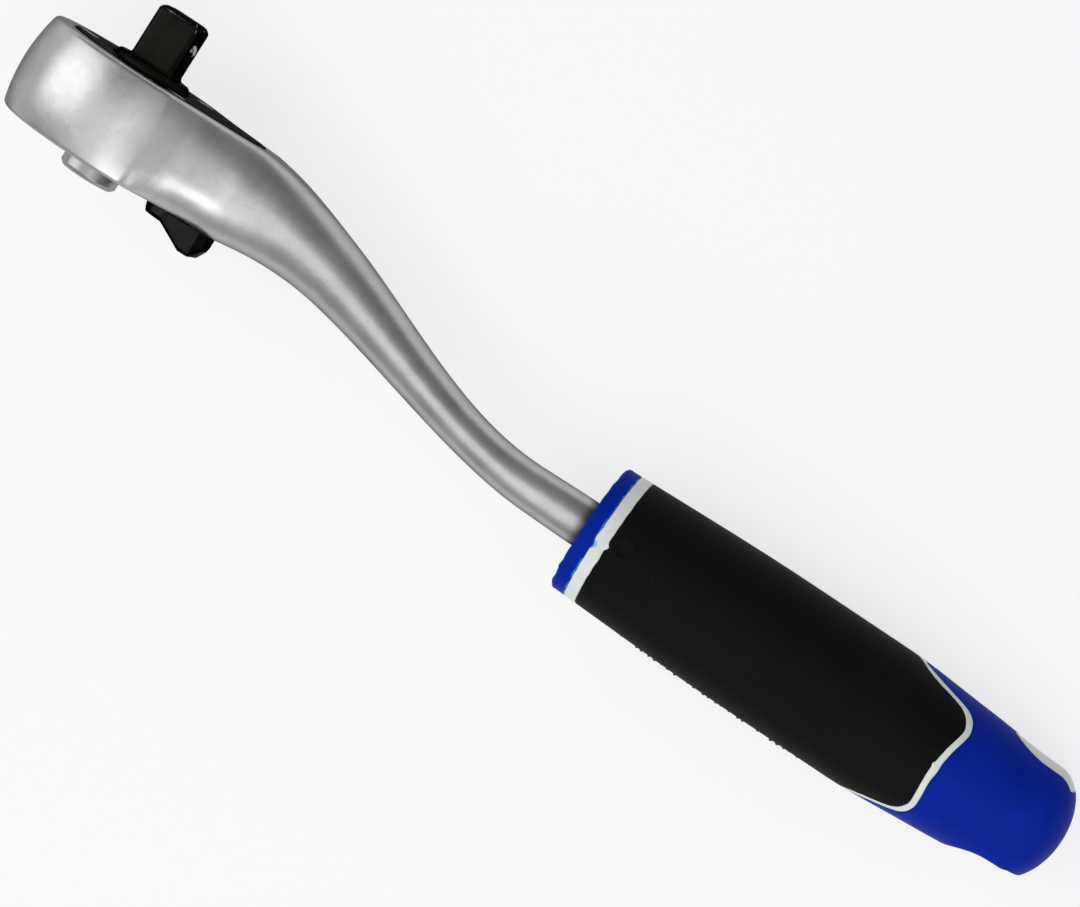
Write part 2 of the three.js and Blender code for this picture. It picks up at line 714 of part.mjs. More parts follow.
function makePawl() {
  const padStart = radians(PAWL_PAD_START);
  const padEnd = radians(PAWL_PAD_END);
  const roofZ = pawlEndZ / 2;
  const roofX = pawlBackX - roofZ * Math.tan(radians(PAWL_ROOF));
  const innerR = rootR - MESH_GAP;
  const blank = new THREE.Shape();
  blank.moveTo(pawlBackX, 0);
  blank.lineTo(roofX, roofZ);
  blank.lineTo(pawlEndX, pawlEndZ);
  blank.absarc(0, 0, innerR, padEnd, padStart, true);
  blank.absarc(0, 0, pawlWaistX, padStart, -padStart, true);
  blank.absarc(0, 0, innerR, -padStart, -padEnd, true);
  blank.lineTo(pawlEndX, -pawlEndZ);
  blank.lineTo(roofX, -roofZ);
  blank.closePath();
  let pawl = raised(blank, pawlLow, pawlTop);
  const gear = raised(gearShape(MESH_GAP), gearLow, plateLow);
  for (const rock of [-PAWL_ROCK, PAWL_ROCK]) {
    const placed = gear.translate([-pawlPinX, 0, 0]).rotate([0, rock, 0]).translate([pawlPinX, 0, 0]);
    pawl = pawl.subtract(placed);
  }
  const pinHole = turnedDisc(PAWL_PIN_D / 2 + RUN_GAP, floorY, plateLow, SMALL_SIDES);
  return pawl.subtract(pinHole.translate([pawlPinX, 0, 0]));
}

function makePawlPin() {
  return turnedDisc(PAWL_PIN_D / 2, floorY - PAWL_PIN_SEAT + SEAT_GAP, plateLow - SEAT_GAP, SMALL_SIDES)
    .translate([pawlPinX, 0, 0]);
}

// Handle: rings round its axis, at an angle from +Z towards +Y

const handleProfile = through([
  [HANDLE_FRONT_X, FRONT_D / 2],
  [BELLY_X, BELLY_D / 2],
  [BELLY_END_X, BELLY_END_D / 2],
  [REAR_X, REAR_D / 2],
  [BUTT_X, BUTT_D / 2],
  [handleEndX, BUTT_D / 2],
]);

// Radius of the handle, or of a layer that lies a wall's thickness below its surface
function handleRadius(x, below = 0) {
  const dome = BUTT_DOME - below;
  const past = Math.min(Math.max(x - (handleEndX - BUTT_DOME), 0), dome);
  return (handleProfile(x) - below) * Math.sqrt(1 - DOME_FULLNESS * (past / dome) ** 2);
}

// Angle away from the drive side or the back, whichever is nearer, in degrees
function offValley(angle) {
  return THREE.MathUtils.radToDeg(Math.asin(Math.min(Math.abs(Math.cos(angle)), 1)));
}

function sleeveEdge(angle) {
  return SLEEVE_VALLEY_X + TONGUE_LENGTH * smooth(offValley(angle) / TONGUE_RAMP);
}

function lineEdge(angle) {
  const rise = TONGUE_LENGTH + LINE_AT_TONGUE - LINE_AT_VALLEY;
  return SLEEVE_VALLEY_X + LINE_AT_VALLEY + rise * smooth(offValley(angle) / LINE_RAMP);
}

function handleRing(place, radius) {
  return Array.from({ length: ROUND_SIDES }, (_, k) => {
    const angle = (k / ROUND_SIDES) * 2 * Math.PI;
    const x = place(angle);
    const r = radius(x);
    return new THREE.Vector3(x, handleY + r * Math.sin(angle), r * Math.cos(angle));
  });
}

// Wall round the handle between two edges, which may wave, and two layers
function handleWall(start, end, outer, inner, steps) {
  const shares = evenly(0, 1, steps);
  const ringAt = (radius) => (share) => handleRing(
    (angle) => THREE.MathUtils.lerp(start(angle), end(angle), share), radius);
  return skin([...shares.map(ringAt(outer)), ...shares.map(ringAt(inner)).reverse()], true);
}

function at(x) {
  return () => x;
}

function makeFrontCollar() {
  const end = ringX - SEAT_GAP;
  const rings = [
    handleRing(at(HANDLE_FRONT_X), (x) => handleRadius(x) - FRONT_ROUND),
    handleRing(at(HANDLE_FRONT_X + FRONT_ROUND), (x) => handleRadius(x)),
    handleRing(at(end), (x) => handleRadius(x)),
  ];
  return skin(rings).subtract(shankSpace());
}

const buttStartX = handleEndX - BUTT_DOME;
const domedEnd = (below) => [0, 30, 50, 70, 90].map(
  (degrees) => buttStartX + (BUTT_DOME - below) * Math.sin(radians(degrees)));

function makeHandleCore() {
  const under = (x) => handleRadius(x) - SLEEVE_WALL;
  const seat = (x) => handleRadius(x, CAP_WALL);
  const sunk = (x) => under(x) - SLEEVE_WALL / 2;
  const seatX = SLEEVE_VALLEY_X + TONGUE_LENGTH + LINE_AT_TONGUE + SEAT_LAP;
  const trunk = skin([
    ...evenly(ringX, seatX, 6).map((x) => handleRing(at(x), under)),
    ...evenly(seatX, buttStartX, 3).map((x) => handleRing(at(x), seat)),
    ...domedEnd(CAP_WALL).slice(1).map((x) => handleRing(at(x), seat)),
  ]);
  const afterSleeve = (angle) => sleeveEdge(angle) + EDGE_GAP;
  const whiteRing = handleWall(at(ringX), at(sleeveX), handleRadius, sunk, 1);
  const whiteLine = handleWall(afterSleeve, lineEdge, handleRadius, sunk, 1);
  const capSeat = handleWall(afterSleeve, at(seatX + SEAT_LAP), seat, sunk, 2);
  return trunk.add(whiteRing).add(whiteLine).add(capSeat).subtract(shankSpace());
}

function makeGripSleeve() {
  const inner = (x) => handleRadius(x) - SLEEVE_WALL + FIT_GAP;
  return handleWall(at(sleeveX + FIT_GAP), sleeveEdge, handleRadius, inner, 7);
}

function makeEndCap() {
  const start = (angle) => lineEdge(angle) + EDGE_GAP;
  const inside = CAP_WALL - FIT_GAP;
  const inner = (x) => handleRadius(x, inside);
  const bodyRings = (radius) => evenly(0, 1, 4).map((share) => handleRing(
    (angle) => THREE.MathUtils.lerp(start(angle), buttStartX, share), radius));
  const shell = skin([
    ...bodyRings(handleRadius),
    ...domedEnd(0).slice(1).map((x) => handleRing(at(x), handleRadius)),
    ...domedEnd(inside).slice(1).map((x) => handleRing(at(x), inner)).reverse(),
    ...bodyRings(inner).reverse(),
  ], true);
  const plug = skin([
    handleRing(at(handleEndX - inside), (x) => inner(x) + CAP_WALL / 2),
    handleRing(at(handleEndX), handleRadius),
  ]);
  const window = new THREE.Shape();
  const straightX = WINDOW_X + WINDOW_ROUND;
  window.absellipse(straightX, 0, WINDOW_ROUND, WINDOW_WIDTH / 2, Math.PI / 2, 1.5 * Math.PI, false, 0);
  window.lineTo(handleEndX + BUTT_DOME, -WINDOW_WIDTH / 2);
  window.lineTo(handleEndX + BUTT_DOME, WINDOW_WIDTH / 2);
  window.closePath();
  const driveSide = raised(window, handleY + WINDOW_SILL, handleY + BELLY_D);
  const backSide = raised(window, handleY - BELLY_D, handleY - WINDOW_SILL);
  return shell.add(plug).subtract(driveSide).subtract(backSide);
}

// Finishes: colour, roughness and metalness
const finishes = {
  satinChrome: [0xb9bcbd, 0.36, 1],
  blackOxide: [0x17181a, 0.42, 0.6],
  brightSteel: [0xd6d8da, 0.2, 1],
  hardSteel: [0x6f7275, 0.35, 1],
  springSteel: [0x8d9092, 0.3, 1],
  blackCasting: [0x121315, 0.38, 0.2],
  bluePlastic: [0x14268f, 0.42, 0],
  whitePlastic: [0xe2e5e2, 0.45, 0],
  blackRubber: [0x111112, 0.62, 0],
};

function material(finish) {
  const [color, roughness, metalness] = finishes[finish];
  return new THREE.MeshStandardMaterial({ color, roughness, metalness });
}

const pieces = [
  ["forged_body", makeForgedBody(), "satinChrome"],
  ["cover_plate", makeCoverPlate(), "blackOxide"],
  ...screwPlaces.map((place) => [place.name, makeCoverScrew(place), "hardSteel"]),
  ["thrust_washer", makeThrustWasher(), "hardSteel"],
  ["drive_gear", makeDriveGear(), "blackOxide"],
  ["detent_ball", makeDetentBall(), "brightSteel"],
  ["release_button", makeReleaseButton(), "brightSteel"],
  ["button_spring", makeButtonSpring(), "springSteel"],
  ["button_ring", makeButtonRing(), "springSteel"],
  ["pawl", makePawl(), "hardSteel"],
  ["pawl_pin", makePawlPin(), "hardSteel"],
  ["lever", makeLever(), "blackCasting"],
  ["lever_ring", makeLeverRing(), "springSteel"],
  ["lever_plunger", makeLeverPlunger(), "hardSteel"],
  ["plunger_spring", makePlungerSpring(), "springSteel"],
  ["front_collar", makeFrontCollar(), "bluePlastic"],
  ["handle_core", makeHandleCore(), "whitePlastic"],
  ["grip_sleeve", makeGripSleeve(), "blackRubber"],
  ["end_cap", makeEndCap(), "bluePlastic"],
];

const ratchet = new THREE.Group();
ratchet.name = "offset_ratchet";
for (const [name, body, finish] of pieces) {
  const mesh = new THREE.Mesh(geometryOf(body), material(finish));
  mesh.name = name;
  ratchet.add(mesh);
}

export default ratchet;
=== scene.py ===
"""Offset ratchet: the shown pieces, their finishes and the stage, built around the packed solids.

Shapes are worked out in millimetres in the solids' frame: +Y points out of the square drive,
+X runs along the handle to its butt, and +Z is up as the tool lies on its side.
"""

from types import SimpleNamespace

import bmesh
import bpy
import numpy as np
from bpy.props import FloatProperty, FloatVectorProperty, IntProperty, PointerProperty
from mathutils import Matrix, Quaternion, Vector


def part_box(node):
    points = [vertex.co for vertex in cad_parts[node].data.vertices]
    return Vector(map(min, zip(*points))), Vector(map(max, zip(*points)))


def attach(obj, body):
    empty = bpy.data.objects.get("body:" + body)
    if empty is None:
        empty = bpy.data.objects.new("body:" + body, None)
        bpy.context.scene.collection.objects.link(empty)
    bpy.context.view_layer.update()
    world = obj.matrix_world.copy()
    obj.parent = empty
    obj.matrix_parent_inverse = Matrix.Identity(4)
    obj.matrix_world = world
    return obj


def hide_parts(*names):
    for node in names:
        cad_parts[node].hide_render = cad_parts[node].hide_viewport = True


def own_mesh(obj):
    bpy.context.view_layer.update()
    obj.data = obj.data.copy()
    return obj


bl_info = {
    "name": "Offset ratchet",
    "version": (1, 0, 0),
    "blender": (4, 5, 0),
    "location": "3D View > Sidebar > Ratchet",
    "description": "Builds the shown pieces, finishes and stage of an offset ratchet around its solids",
    "category": "Object",
}

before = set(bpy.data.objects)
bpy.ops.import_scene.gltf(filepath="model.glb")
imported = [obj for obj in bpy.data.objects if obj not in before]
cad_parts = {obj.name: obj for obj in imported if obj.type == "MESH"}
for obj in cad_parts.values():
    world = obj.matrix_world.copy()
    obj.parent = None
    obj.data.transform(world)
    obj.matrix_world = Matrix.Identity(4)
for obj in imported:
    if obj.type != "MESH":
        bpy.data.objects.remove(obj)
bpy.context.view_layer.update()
MM = 0.001
FULL_TURN = 2 * np.pi


def span(node, axis):
    """Lowest and highest place of a solid along one axis, in millimetres."""
    low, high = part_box(node)
    return low[axis] / MM, high[axis] / MM


FACE_Y = span("forged_body", 1)[1]
PLATE_LOW, PLATE_TOP = span("cover_plate", 1)
HUB_END = span("drive_gear", 1)[0]
BUTTON_END, ROD_END = span("release_button", 1)
LEVER_LOW = span("lever", 1)[0]
LEVER_TIP = span("lever", 0)[1]
HANDLE_FRONT = span("front_collar", 0)[0]
HANDLE_END = span("end_cap", 0)[1]
HANDLE_Y = sum(span("grip_sleeve", 1)) / 2
SCREWS = ("cover_screw_nose", "cover_screw_left", "cover_screw_right")


# Properties


def length(name, size, description):
    """Length property whose default is given in millimetres."""
    metres = size * MM
    return FloatProperty(
        name=name, description=description, default=metres, precision=5, unit="LENGTH", subtype="DISTANCE"
    )


def angle(name, degrees, description):
    """Angle property whose default is given in degrees."""
    radians = float(np.radians(degrees))
    return FloatProperty(
        name=name, description=description, default=radians, unit="ROTATION", subtype="ANGLE"
    )


def number(name, value, description):
    """Plain number property."""
    return FloatProperty(name=name, description=description, default=value, precision=4)


def colour(name, value, description):
    """Colour property in linear light."""
    return FloatVectorProperty(
        name=name, description=description, default=value, size=3, min=0, max=1, subtype="COLOR"
    )


class RatchetHead(bpy.types.PropertyGroup):
    """Sizes of the forged head"""

    diameter: length("Head diameter", 30.6, "Across the crowned wall at its middle")
    crown: length("Crown", 0.9, "How far the wall falls back at the rims")
    thickness: length("Thickness", 13.6, "From the drive side's face to the back")
    rim_round: length("Rim round", 0.5, "Radius of the rims")
    flank: angle("Flank angle", 32, "Where the round head runs into the throat")
    mouth: length("Recess mouth", 0.2, "Chamfer round the cover plate's recess")
    back_wall: length("Back wall", 3.4, "Thickness of the head behind the gear")
    gear_pocket: length("Gear pocket", 16.4, "Diameter of the pocket for the gear")
    pawl_x: length("Pawl pin place", 9.525, "Pawl pin from the drive's axis")
    pawl_pocket: length("Pawl pocket", 11.84, "Diameter of the pocket for the pawl")


class RatchetArm(bpy.types.PropertyGroup):
    """Sizes of the S-bent arm and the shank"""

    offset: length("Offset", 11.0, "Head's middle to the handle's axis")
    bend_start: length("Bend start", 22.2, "Where the arm leaves the head's level")
    bend_end: length("Bend end", 73.0, "Where the arm reaches the handle's level")
    round_start: length("Round start", 6.0, "Where the head's corners begin to grow into the round arm")
    back_start: length("Back round start", 9.0, "Where the corners of the back begin to be rounded off")
    back_end: length("Back round end", 17.0, "Where the corners of the back are rounded off")
    back_round: number("Back round", 0.30, "Share by which the back's corners are rounded off")
    throat_x: length("Throat place", 12.4, "Middle of the hollow between the head and the neck")
    throat_width: length("Throat width", 20.7, "Width in the hollow")
    neck_x: length("Neck place", 20.0, "Where the head has become the arm")
    neck_width: length("Neck width", 14.0, "Width at the neck")
    shoulder_x: length("Shoulder place", 36.0, "Where the arm has become round")
    shoulder_width: length("Shoulder width", 10.4, "Width at the shoulder")
    shoulder_thickness: length("Shoulder thickness", 9.7, "Thickness at the shoulder")
    waist_x: length("Waist place", 66.0, "Thinnest place of the arm")
    waist_width: length("Waist width", 7.4, "Width at the waist")
    waist_thickness: length("Waist thickness", 6.1, "Thickness at the waist")
    shank: length("Shank diameter", 6.6, "Where the shank enters the handle")
    spade_x: length("Spade place", 112.0, "Where the hidden shank is flattened")
    spade_end: length("Spade end", 138.0, "Inner end of the shank")
    spade_width: length("Spade width", 9.0, "Width of the flattened end")
    spade_thickness: length("Spade thickness", 4.6, "Thickness of the flattened end")


class RatchetDrive(bpy.types.PropertyGroup):
    """Sizes of the square drive, its gear, ball and release button"""

    square: length("Square", 6.35, "Across the flats of the square")
    edge: length("Square's edge", 0.55, "Chamfer along the square's edges")
    tip: length("Tip chamfer", 0.6, "Chamfer at the square's end")
    fillet: length("Fillet", 0.7, "Round between the square and its collar")
    collar: length("Collar diameter", 11.3, "Round collar under the square")
    collar_top: length("Collar level", -8.0, "Top of the collar")
    collar_edge: length("Collar edge", 0.45, "Chamfer of the collar")
    hub: length("Hub diameter", 11.6, "Rear journal in the head's back")
    gear: length("Gear diameter", 16.0, "Across the tips of the teeth")
    tooth: length("Tooth depth", 0.4, "Depth of the teeth")
    teeth: IntProperty(name="Teeth", description="Teeth round the gear", default=72)
    gear_top: length("Gear top", -11.75, "Upper side of the gear")
    gear_low: length("Gear low", -19.0, "Lower side of the gear")
    bore: length("Button bore", 9.5, "Bore for the button's flange and spring")
    rod_bore: length("Rod bore", 3.4, "Bore for the release rod")
    spring_seat: length("Spring seat", -16.6, "Floor of the wide bore")
    rod_room: length("Rod room", 1.7, "Free bore beyond the rod's end")
    ring_low: length("Ring groove low", -22.1, "Lower side of the button ring's groove")
    ring_high: length("Ring groove high", -21.4, "Upper side of the button ring's groove")
    ring_bite: length("Ring bite", 0.35, "Depth of the ring's groove")
    ball: length("Ball diameter", 2.0, "Detent ball")
    ball_proud: length("Ball stands out", 0.45, "How far the ball stands out of the flat")
    ball_y: length("Ball level", -3.5, "Ball's middle from the square's end")
    button: length("Button diameter", 8.3, "Release button")
    button_edge: length("Button edge", 0.5, "Chamfer of the button")
    flange: length("Flange", 0.4, "How far the flange stands out under the button")
    flange_low: length("Flange low", -21.4, "Lower side of the flange")
    flange_high: length("Flange high", -20.6, "Upper side of the flange")
    rod: length("Rod diameter", 3.0, "Release rod")
    rod_neck: length("Rod neck", 0.5, "Depth of the neck that lets the ball in")
    travel: length("Button travel", 1.5, "How far the button is pushed")
    spring_wire: length("Spring wire", 0.5, "Wire of the coil spring under the button")
    spring_turns: number("Spring turns", 3.5, "Turns of the coil spring under the button")


class RatchetPlate(bpy.types.PropertyGroup):
    """Sizes of the cover plate and its screws"""

    diameter: length("Plate diameter", 23.6, "Round part of the plate")
    proud: length("Proud", 0.1, "How far the plate's face stands above the head's rim")
    tail: length("Tail diameter", 10.8, "Small round at the plate's tail")
    tail_x: length("Tail place", 13.2, "Middle of the tail's round")
    edge: length("Plate edge", 0.2, "Chamfer round the plate")
    fit: length("Fit", 0.12, "Gap round the plate and in its holes")
    run: length("Running gap", 0.2, "Gap round the collar and the journals")
    screw_head: length("Screw head", 2.9, "Countersunk head's diameter")
    screw_depth: length("Screw head depth", 0.7, "Depth of the countersink")
    screw_shaft: length("Screw shaft", 1.7, "Diameter of the screw's shaft")
    screw_length: length("Screw length", 5.0, "Head's top to the screw's end")
    slot_width: length("Slot width", 0.5, "Screwdriver slot")
    slot_depth: length("Slot depth", 0.35, "Depth of the slot")


class RatchetLever(bpy.types.PropertyGroup):
    """Sizes of the reversing lever"""

    place: length("Lever place", 13.1, "Lever's axis from the drive's axis")
    disc: length("Disc diameter", 8.6, "Round end of the lever")
    disc_thickness: length("Disc thickness", 1.6, "Thickness of the round end")
    knee: length("Knee", -0.4, "Where the lever's lower side starts to drop, from its axis")
    full: length("Full depth", 3.4, "Where the thumb piece has its full depth, from its axis")
    thumb: length("Thumb piece", 0.35, "How far the thumb piece hangs below the solid's")
    tip_width: length("Tip width", 6.4, "Width of the thumb piece")
    bevel: length("Bevel", 1.0, "Large bevels of the thumb piece")
    chamfer: length("Chamfer", 0.55, "Chamfer along the lower edges")
    journal: length("Journal", 4.4, "Journal in the head's back wall")
    shaft: length("Shaft", 3.2, "Shaft inside the head")
    ring_low: length("Ring groove low", -19.05, "Lower side of the lever ring's groove")
    ring_high: length("Ring groove high", -18.35, "Upper side of the lever ring's groove")
    ring_bite: length("Ring bite", 0.35, "Depth of the ring's groove")
    plunger_bore: length("Plunger bore", 1.44, "Cross bore for the plunger")
    plunger_y: length("Plunger level", -14.65, "Middle of the cross bore")
    plunger_end: length("Bore end", 0.7, "End of the cross bore past the axis")


class RatchetHandle(bpy.types.PropertyGroup):
    """Sizes of the moulded handle"""

    front: length("Front diameter", 18.4, "At the blue collar")
    belly_x: length("Belly place", 110.0, "Thickest place")
    belly: length("Belly diameter", 19.8, "Thickest diameter")
    belly_end_x: length("Belly end place", 125.0, "Where the taper begins")
    belly_end: length("Belly end diameter", 19.75, "Where the taper begins")
    rear_x: length("Rear place", 138.0, "Behind the sleeve's tongues")
    rear: length("Rear diameter", 18.1, "Behind the sleeve's tongues")
    butt_x: length("Butt place", 150.0, "Start of the butt")
    butt: length("Butt diameter", 16.4, "At the butt")
    butt_dome: length("Butt dome", 5.2, "Length of the domed butt")
    front_round: length("Front round", 0.3, "Round of the collar's edge")
    blue_ring: length("Blue ring", 2.2, "Width of the blue collar")
    white_ring: length("White ring", 1.75, "Width of the white ring")
    sleeve_wall: length("Sleeve wall", 2.2, "Thickness of the black sleeve")
    cap_wall: length("Cap wall", 0.75, "Thickness of the blue cap")
    tongue_x: length("Tongue end", 136.35, "Rear end of the sleeve's tongues")
    valley_x: length("Valley", 126.8, "Rear edge of the sleeve between its tongues")
    line_tongue: length("Line at the tongue", 0.9, "White line's width at the tongues' ends")
    line_valley: length("Line at the valley", 1.2, "White line's width in the valleys")
    window_x: length("Window start", 142.3, "Front end of the butt's windows")
    window_round: length("Window round", 5.5, "Length of a window's rounded start")
    window_width: length("Window width", 7.0, "Width of the drive side's window")
    back_width: length("Back window width", 9.6, "Width of the back's window")
    window_sill: length("Window sill", 6.4, "Distance from the axis where the dome closes each window")
    drive_fill: number("Drive side's fill", 0.86, "Share of the cap's wall filled in its window")
    back_fill: number("Back's fill", -0.65, "Share of the cap's wall filled in the back's window")
    groove: length("Colour groove", 0.16, "Softened edge where two colours meet")
    shank_room: length("Shank room", 0.85, "Gap round the shank at the collar's mouth")
    flash: length("Mould flash", 0.3, "Height of the ragged flash along the sleeve")


class RatchetFinish(bpy.types.PropertyGroup):
    """Colours of the finishes"""

    chrome: colour("Satin chrome", (0.52, 0.525, 0.52), "Plated forging")
    oxide: colour("Black oxide", (0.014, 0.0135, 0.011), "Drive and cover plate")
    worn: colour("Worn steel", (0.6, 0.6, 0.58), "Bare metal on worn edges")
    bright: colour("Bright steel", (0.32, 0.324, 0.32), "Button and ball")
    hard: colour("Hard steel", (0.2, 0.2, 0.21), "Screws, pawl, washer and pins")
    spring: colour("Spring steel", (0.3, 0.3, 0.31), "Springs and rings")
    casting: colour("Black casting", (0.011, 0.011, 0.01), "Reversing lever")
    blue: colour("Blue plastic", (0.001, 0.018, 0.31), "Collar and end cap")
    bleed: colour("Blue bleed", (0.05, 0.35, 0.85), "Where blue runs thin over white")
    white: colour("White plastic", (0.74, 0.78, 0.76), "Handle core")
    rubber: colour("Black rubber", (0.0042, 0.0042, 0.0038), "Grip sleeve")
    dust: colour("Dust", (0.16, 0.16, 0.15), "Specks on the grip sleeve")


class RatchetStage(bpy.types.PropertyGroup):
    """Camera, floor and light"""

    distance: length("Camera distance", 420.0, "From the point that the camera looks at")
    lens: number("Lens", 106.86, "Focal length in millimetres on a 36 mm sensor")
    aim_x: length("Aim X", 71.27, "Point that the camera looks at, along the handle")
    aim_y: length("Aim Y", -22.39, "Point that the camera looks at, along the drive")
    butt_tilt: angle("Butt tilt", 6.0, "How far the butt leans to the camera")
    drive_tilt: angle("Drive tilt", 5.5, "How far the drive leans to the camera")
    roll: angle("Roll", 33.69, "Handle's slope in the picture")
    rest_head: length("Head's rest", -15.35, "Floor under the head")
    rest_handle: length("Handle's rest", -9.95, "Floor under the handle's belly")
    room_dim: number("Dim side", 0.19, "Room light from the drive's side")
    room_bright: number("Bright side", 0.42, "Room light from the back and the nose")
    floor: colour("Floor", (0.93, 0.93, 0.925), "Matte floor")
    floor_lift: number("Floor lift", 0.72, "How far the floor is lifted to white")


GROUPS = {
    "ratchet_head": RatchetHead,
    "ratchet_arm": RatchetArm,
    "ratchet_drive": RatchetDrive,
    "ratchet_plate": RatchetPlate,
    "ratchet_lever": RatchetLever,
    "ratchet_handle": RatchetHandle,
    "ratchet_finish": RatchetFinish,
    "ratchet_stage": RatchetStage,
}


def sizes(name):
    """Values of one property group, with its lengths in millimetres."""
    group = getattr(bpy.context.scene, name)
    rows = group.bl_rna.properties
    return SimpleNamespace(
        **{
            key: getattr(group, key) / MM if rows[key].unit == "LENGTH" else getattr(group, key)
            for key in type(group).__annotations__
        }
    )


# Curves


def smooth_step(t):
    """Cubic that goes from 0 to 1 with level ends."""
    t = np.clip(t, 0, 1)
    return t * t * (3 - 2 * t)


def mix(a, b, share):
    """Straight mix of two values."""
    return a + (b - a) * share


def through(points, x):
    """Cubic through points: each slope is the harmonic mean of its two chords, so it never swings past."""
    px, py = np.array(points, float).T
    width, rise = np.diff(px), np.diff(py)
    chord = rise / width
    both = chord[:-1] * chord[1:]
    total = np.where(both > 0, chord[:-1] + chord[1:], 1)
    slope = np.concatenate([chord[:1], np.where(both > 0, 2 * both / total, 0), chord[-1:]])
    i = np.clip(np.searchsorted(px, x, side="right") - 1, 0, len(width) - 1)
    t = np.clip((x - px[i]) / width[i], 0, 1)
    lift = slope[i] * width[i] - rise[i]
    drop = rise[i] - slope[i + 1] * width[i]
    return py[i] + t * rise[i] + t * (1 - t) * (lift * (1 - t) + drop * t)


def soften(points, reach, steps=6):
    """Polyline whose corners become parabolas from a reach, or just under half a side, before to after."""
    most = 0.48
    p = np.array(points, float)
    into, out = p[1:-1] - p[:-2], p[2:] - p[1:-1]
    size_in = np.linalg.norm(into, axis=1, keepdims=True)
    size_out = np.linalg.norm(out, axis=1, keepdims=True)
    start = p[1:-1] - into * np.minimum(reach / size_in, most)
    end = p[1:-1] + out * np.minimum(reach / size_out, most)
    t = np.linspace(0, 1, steps)[None, :, None]
    arcs = (1 - t) ** 2 * start[:, None] + 2 * t * (1 - t) * p[1:-1][:, None] + t**2 * end[:, None]
    return np.vstack([p[:1], arcs.reshape(-1, p.shape[1]), p[-1:]])


def bump(value, middle, width):
    """Bell of height 1 round a middle."""
    return np.exp(-(((value - middle) / width) ** 2))


def ripple(value, height, seed, waves, period):
    """Sum of seeded sines, between about minus and plus a height, that repeats after a period."""
    sines, spread = 9, 4
    draw = np.random.default_rng(seed)
    order = draw.integers(waves // 3, waves, sines)
    phase = draw.uniform(0, FULL_TURN, sines)
    angles = np.asarray(value)[..., None] / period * FULL_TURN
    return height * (np.sin(angles * order + phase).sum(-1) / spread)


def turns(count):
    """Even angles round a full turn."""
    return np.linspace(0, FULL_TURN, count, endpoint=False)


# Meshes


# Points nearer than this are one point, and edges shorter than this are empty, in metres
SAME_POINT = 5e-7
EMPTY_EDGE = 1e-7


def grid_object(name, grid, wrap_rows=False, wrap_columns=True):
    """Object from a grid of points in millimetres: cells are faces, ends join where told, poles close."""
    rows, columns = grid.shape[:2]
    index = np.arange(rows * columns, dtype=np.int32).reshape(rows, columns)
    if wrap_rows:
        index = np.vstack([index, index[:1]])
    if wrap_columns:
        index = np.hstack([index, index[:, :1]])
    corners = np.stack([index[:-1, :-1], index[:-1, 1:], index[1:, 1:], index[1:, :-1]], -1).reshape(-1, 4)
    mesh = bpy.data.meshes.new(name)
    mesh.vertices.add(rows * columns)
    mesh.vertices.foreach_set("co", (grid * MM).astype(np.float32).ravel())
    mesh.loops.add(corners.size)
    mesh.loops.foreach_set("vertex_index", corners.ravel())
    mesh.polygons.add(len(corners))
    mesh.polygons.foreach_set("loop_start", np.arange(0, corners.size, 4, dtype=np.int32))
    mesh.update(calc_edges=True)
    weld(mesh)
    made = bpy.data.objects.new(name, mesh)
    bpy.context.scene.collection.objects.link(made)
    return made


def weld(mesh):
    """Merges doubles, drops empty faces and turns the rest outwards."""
    work = bmesh.new()
    work.from_mesh(mesh)
    bmesh.ops.remove_doubles(work, verts=work.verts, dist=SAME_POINT)
    bmesh.ops.dissolve_degenerate(work, edges=work.edges, dist=EMPTY_EDGE)
    bmesh.ops.recalc_face_normals(work, faces=work.faces)
    work.to_mesh(mesh)
    work.free()


def combine(piece, others, operation="DIFFERENCE"):
    """Cuts other shapes out of a piece, or adds them to it, and removes them."""
    for other in others:
        step = piece.modifiers.new(operation.lower(), "BOOLEAN")
        step.operation = operation
        step.solver = "EXACT"
        step.object = other
    shown = piece.evaluated_get(bpy.context.evaluated_depsgraph_get())
    made = bpy.data.meshes.new_from_object(shown)
    weld(made)
    old = piece.data
    piece.modifiers.clear()
    piece.data = made
    made.name = piece.name
    bpy.data.meshes.remove(old)
    for other in others:
        spare = other.data
        bpy.data.objects.remove(other)
        bpy.data.meshes.remove(spare)


def shade(piece, sharp=30, bevel=0.0):
    """Smooth shading with sharp edges kept, flat faces kept flat, and a small bevel if asked for."""
    mesh = piece.data
    mesh.polygons.foreach_set("use_smooth", np.ones(len(mesh.polygons), bool))
    mesh.set_sharp_from_angle(angle=np.radians(sharp))
    if bevel:
        step = piece.modifiers.new("edge", "BEVEL")
        step.width = bevel * MM
        step.segments = 3
        step.limit_method = "ANGLE"
        step.angle_limit = np.radians(sharp)
    step = piece.modifiers.new("even_normals", "WEIGHTED_NORMAL")
    step.keep_sharp = True


def points_of(piece):
    """A piece's points in millimetres."""
    points = np.zeros(len(piece.data.vertices) * 3, np.float32)
    piece.data.vertices.foreach_get("co", points)
    return points.reshape(-1, 3) / MM


def mark(piece, name, values):
    """Stores one number per point on a piece, for its material."""
    layer = piece.data.attributes.new(name, "FLOAT", "POINT")
    layer.data.foreach_set("value", np.clip(values, 0, 1).astype(np.float32))


def dress(piece, finish, body, slot, *nodes):
    """Gives a piece its finish and body, and hides the solids that it stands for."""
    piece.data.materials.clear()
    piece.data.materials.append(finish)
    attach(piece, body)
    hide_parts(*nodes)


def round_drive(radius, height, turn, x=0.0, z=0.0):
    """Rings round an axis along the drive's direction, at a place across it."""
    radius, height, turn = np.broadcast_arrays(radius, height, turn)
    return np.stack([x + radius * np.cos(turn), height, z + radius * np.sin(turn)], -1)


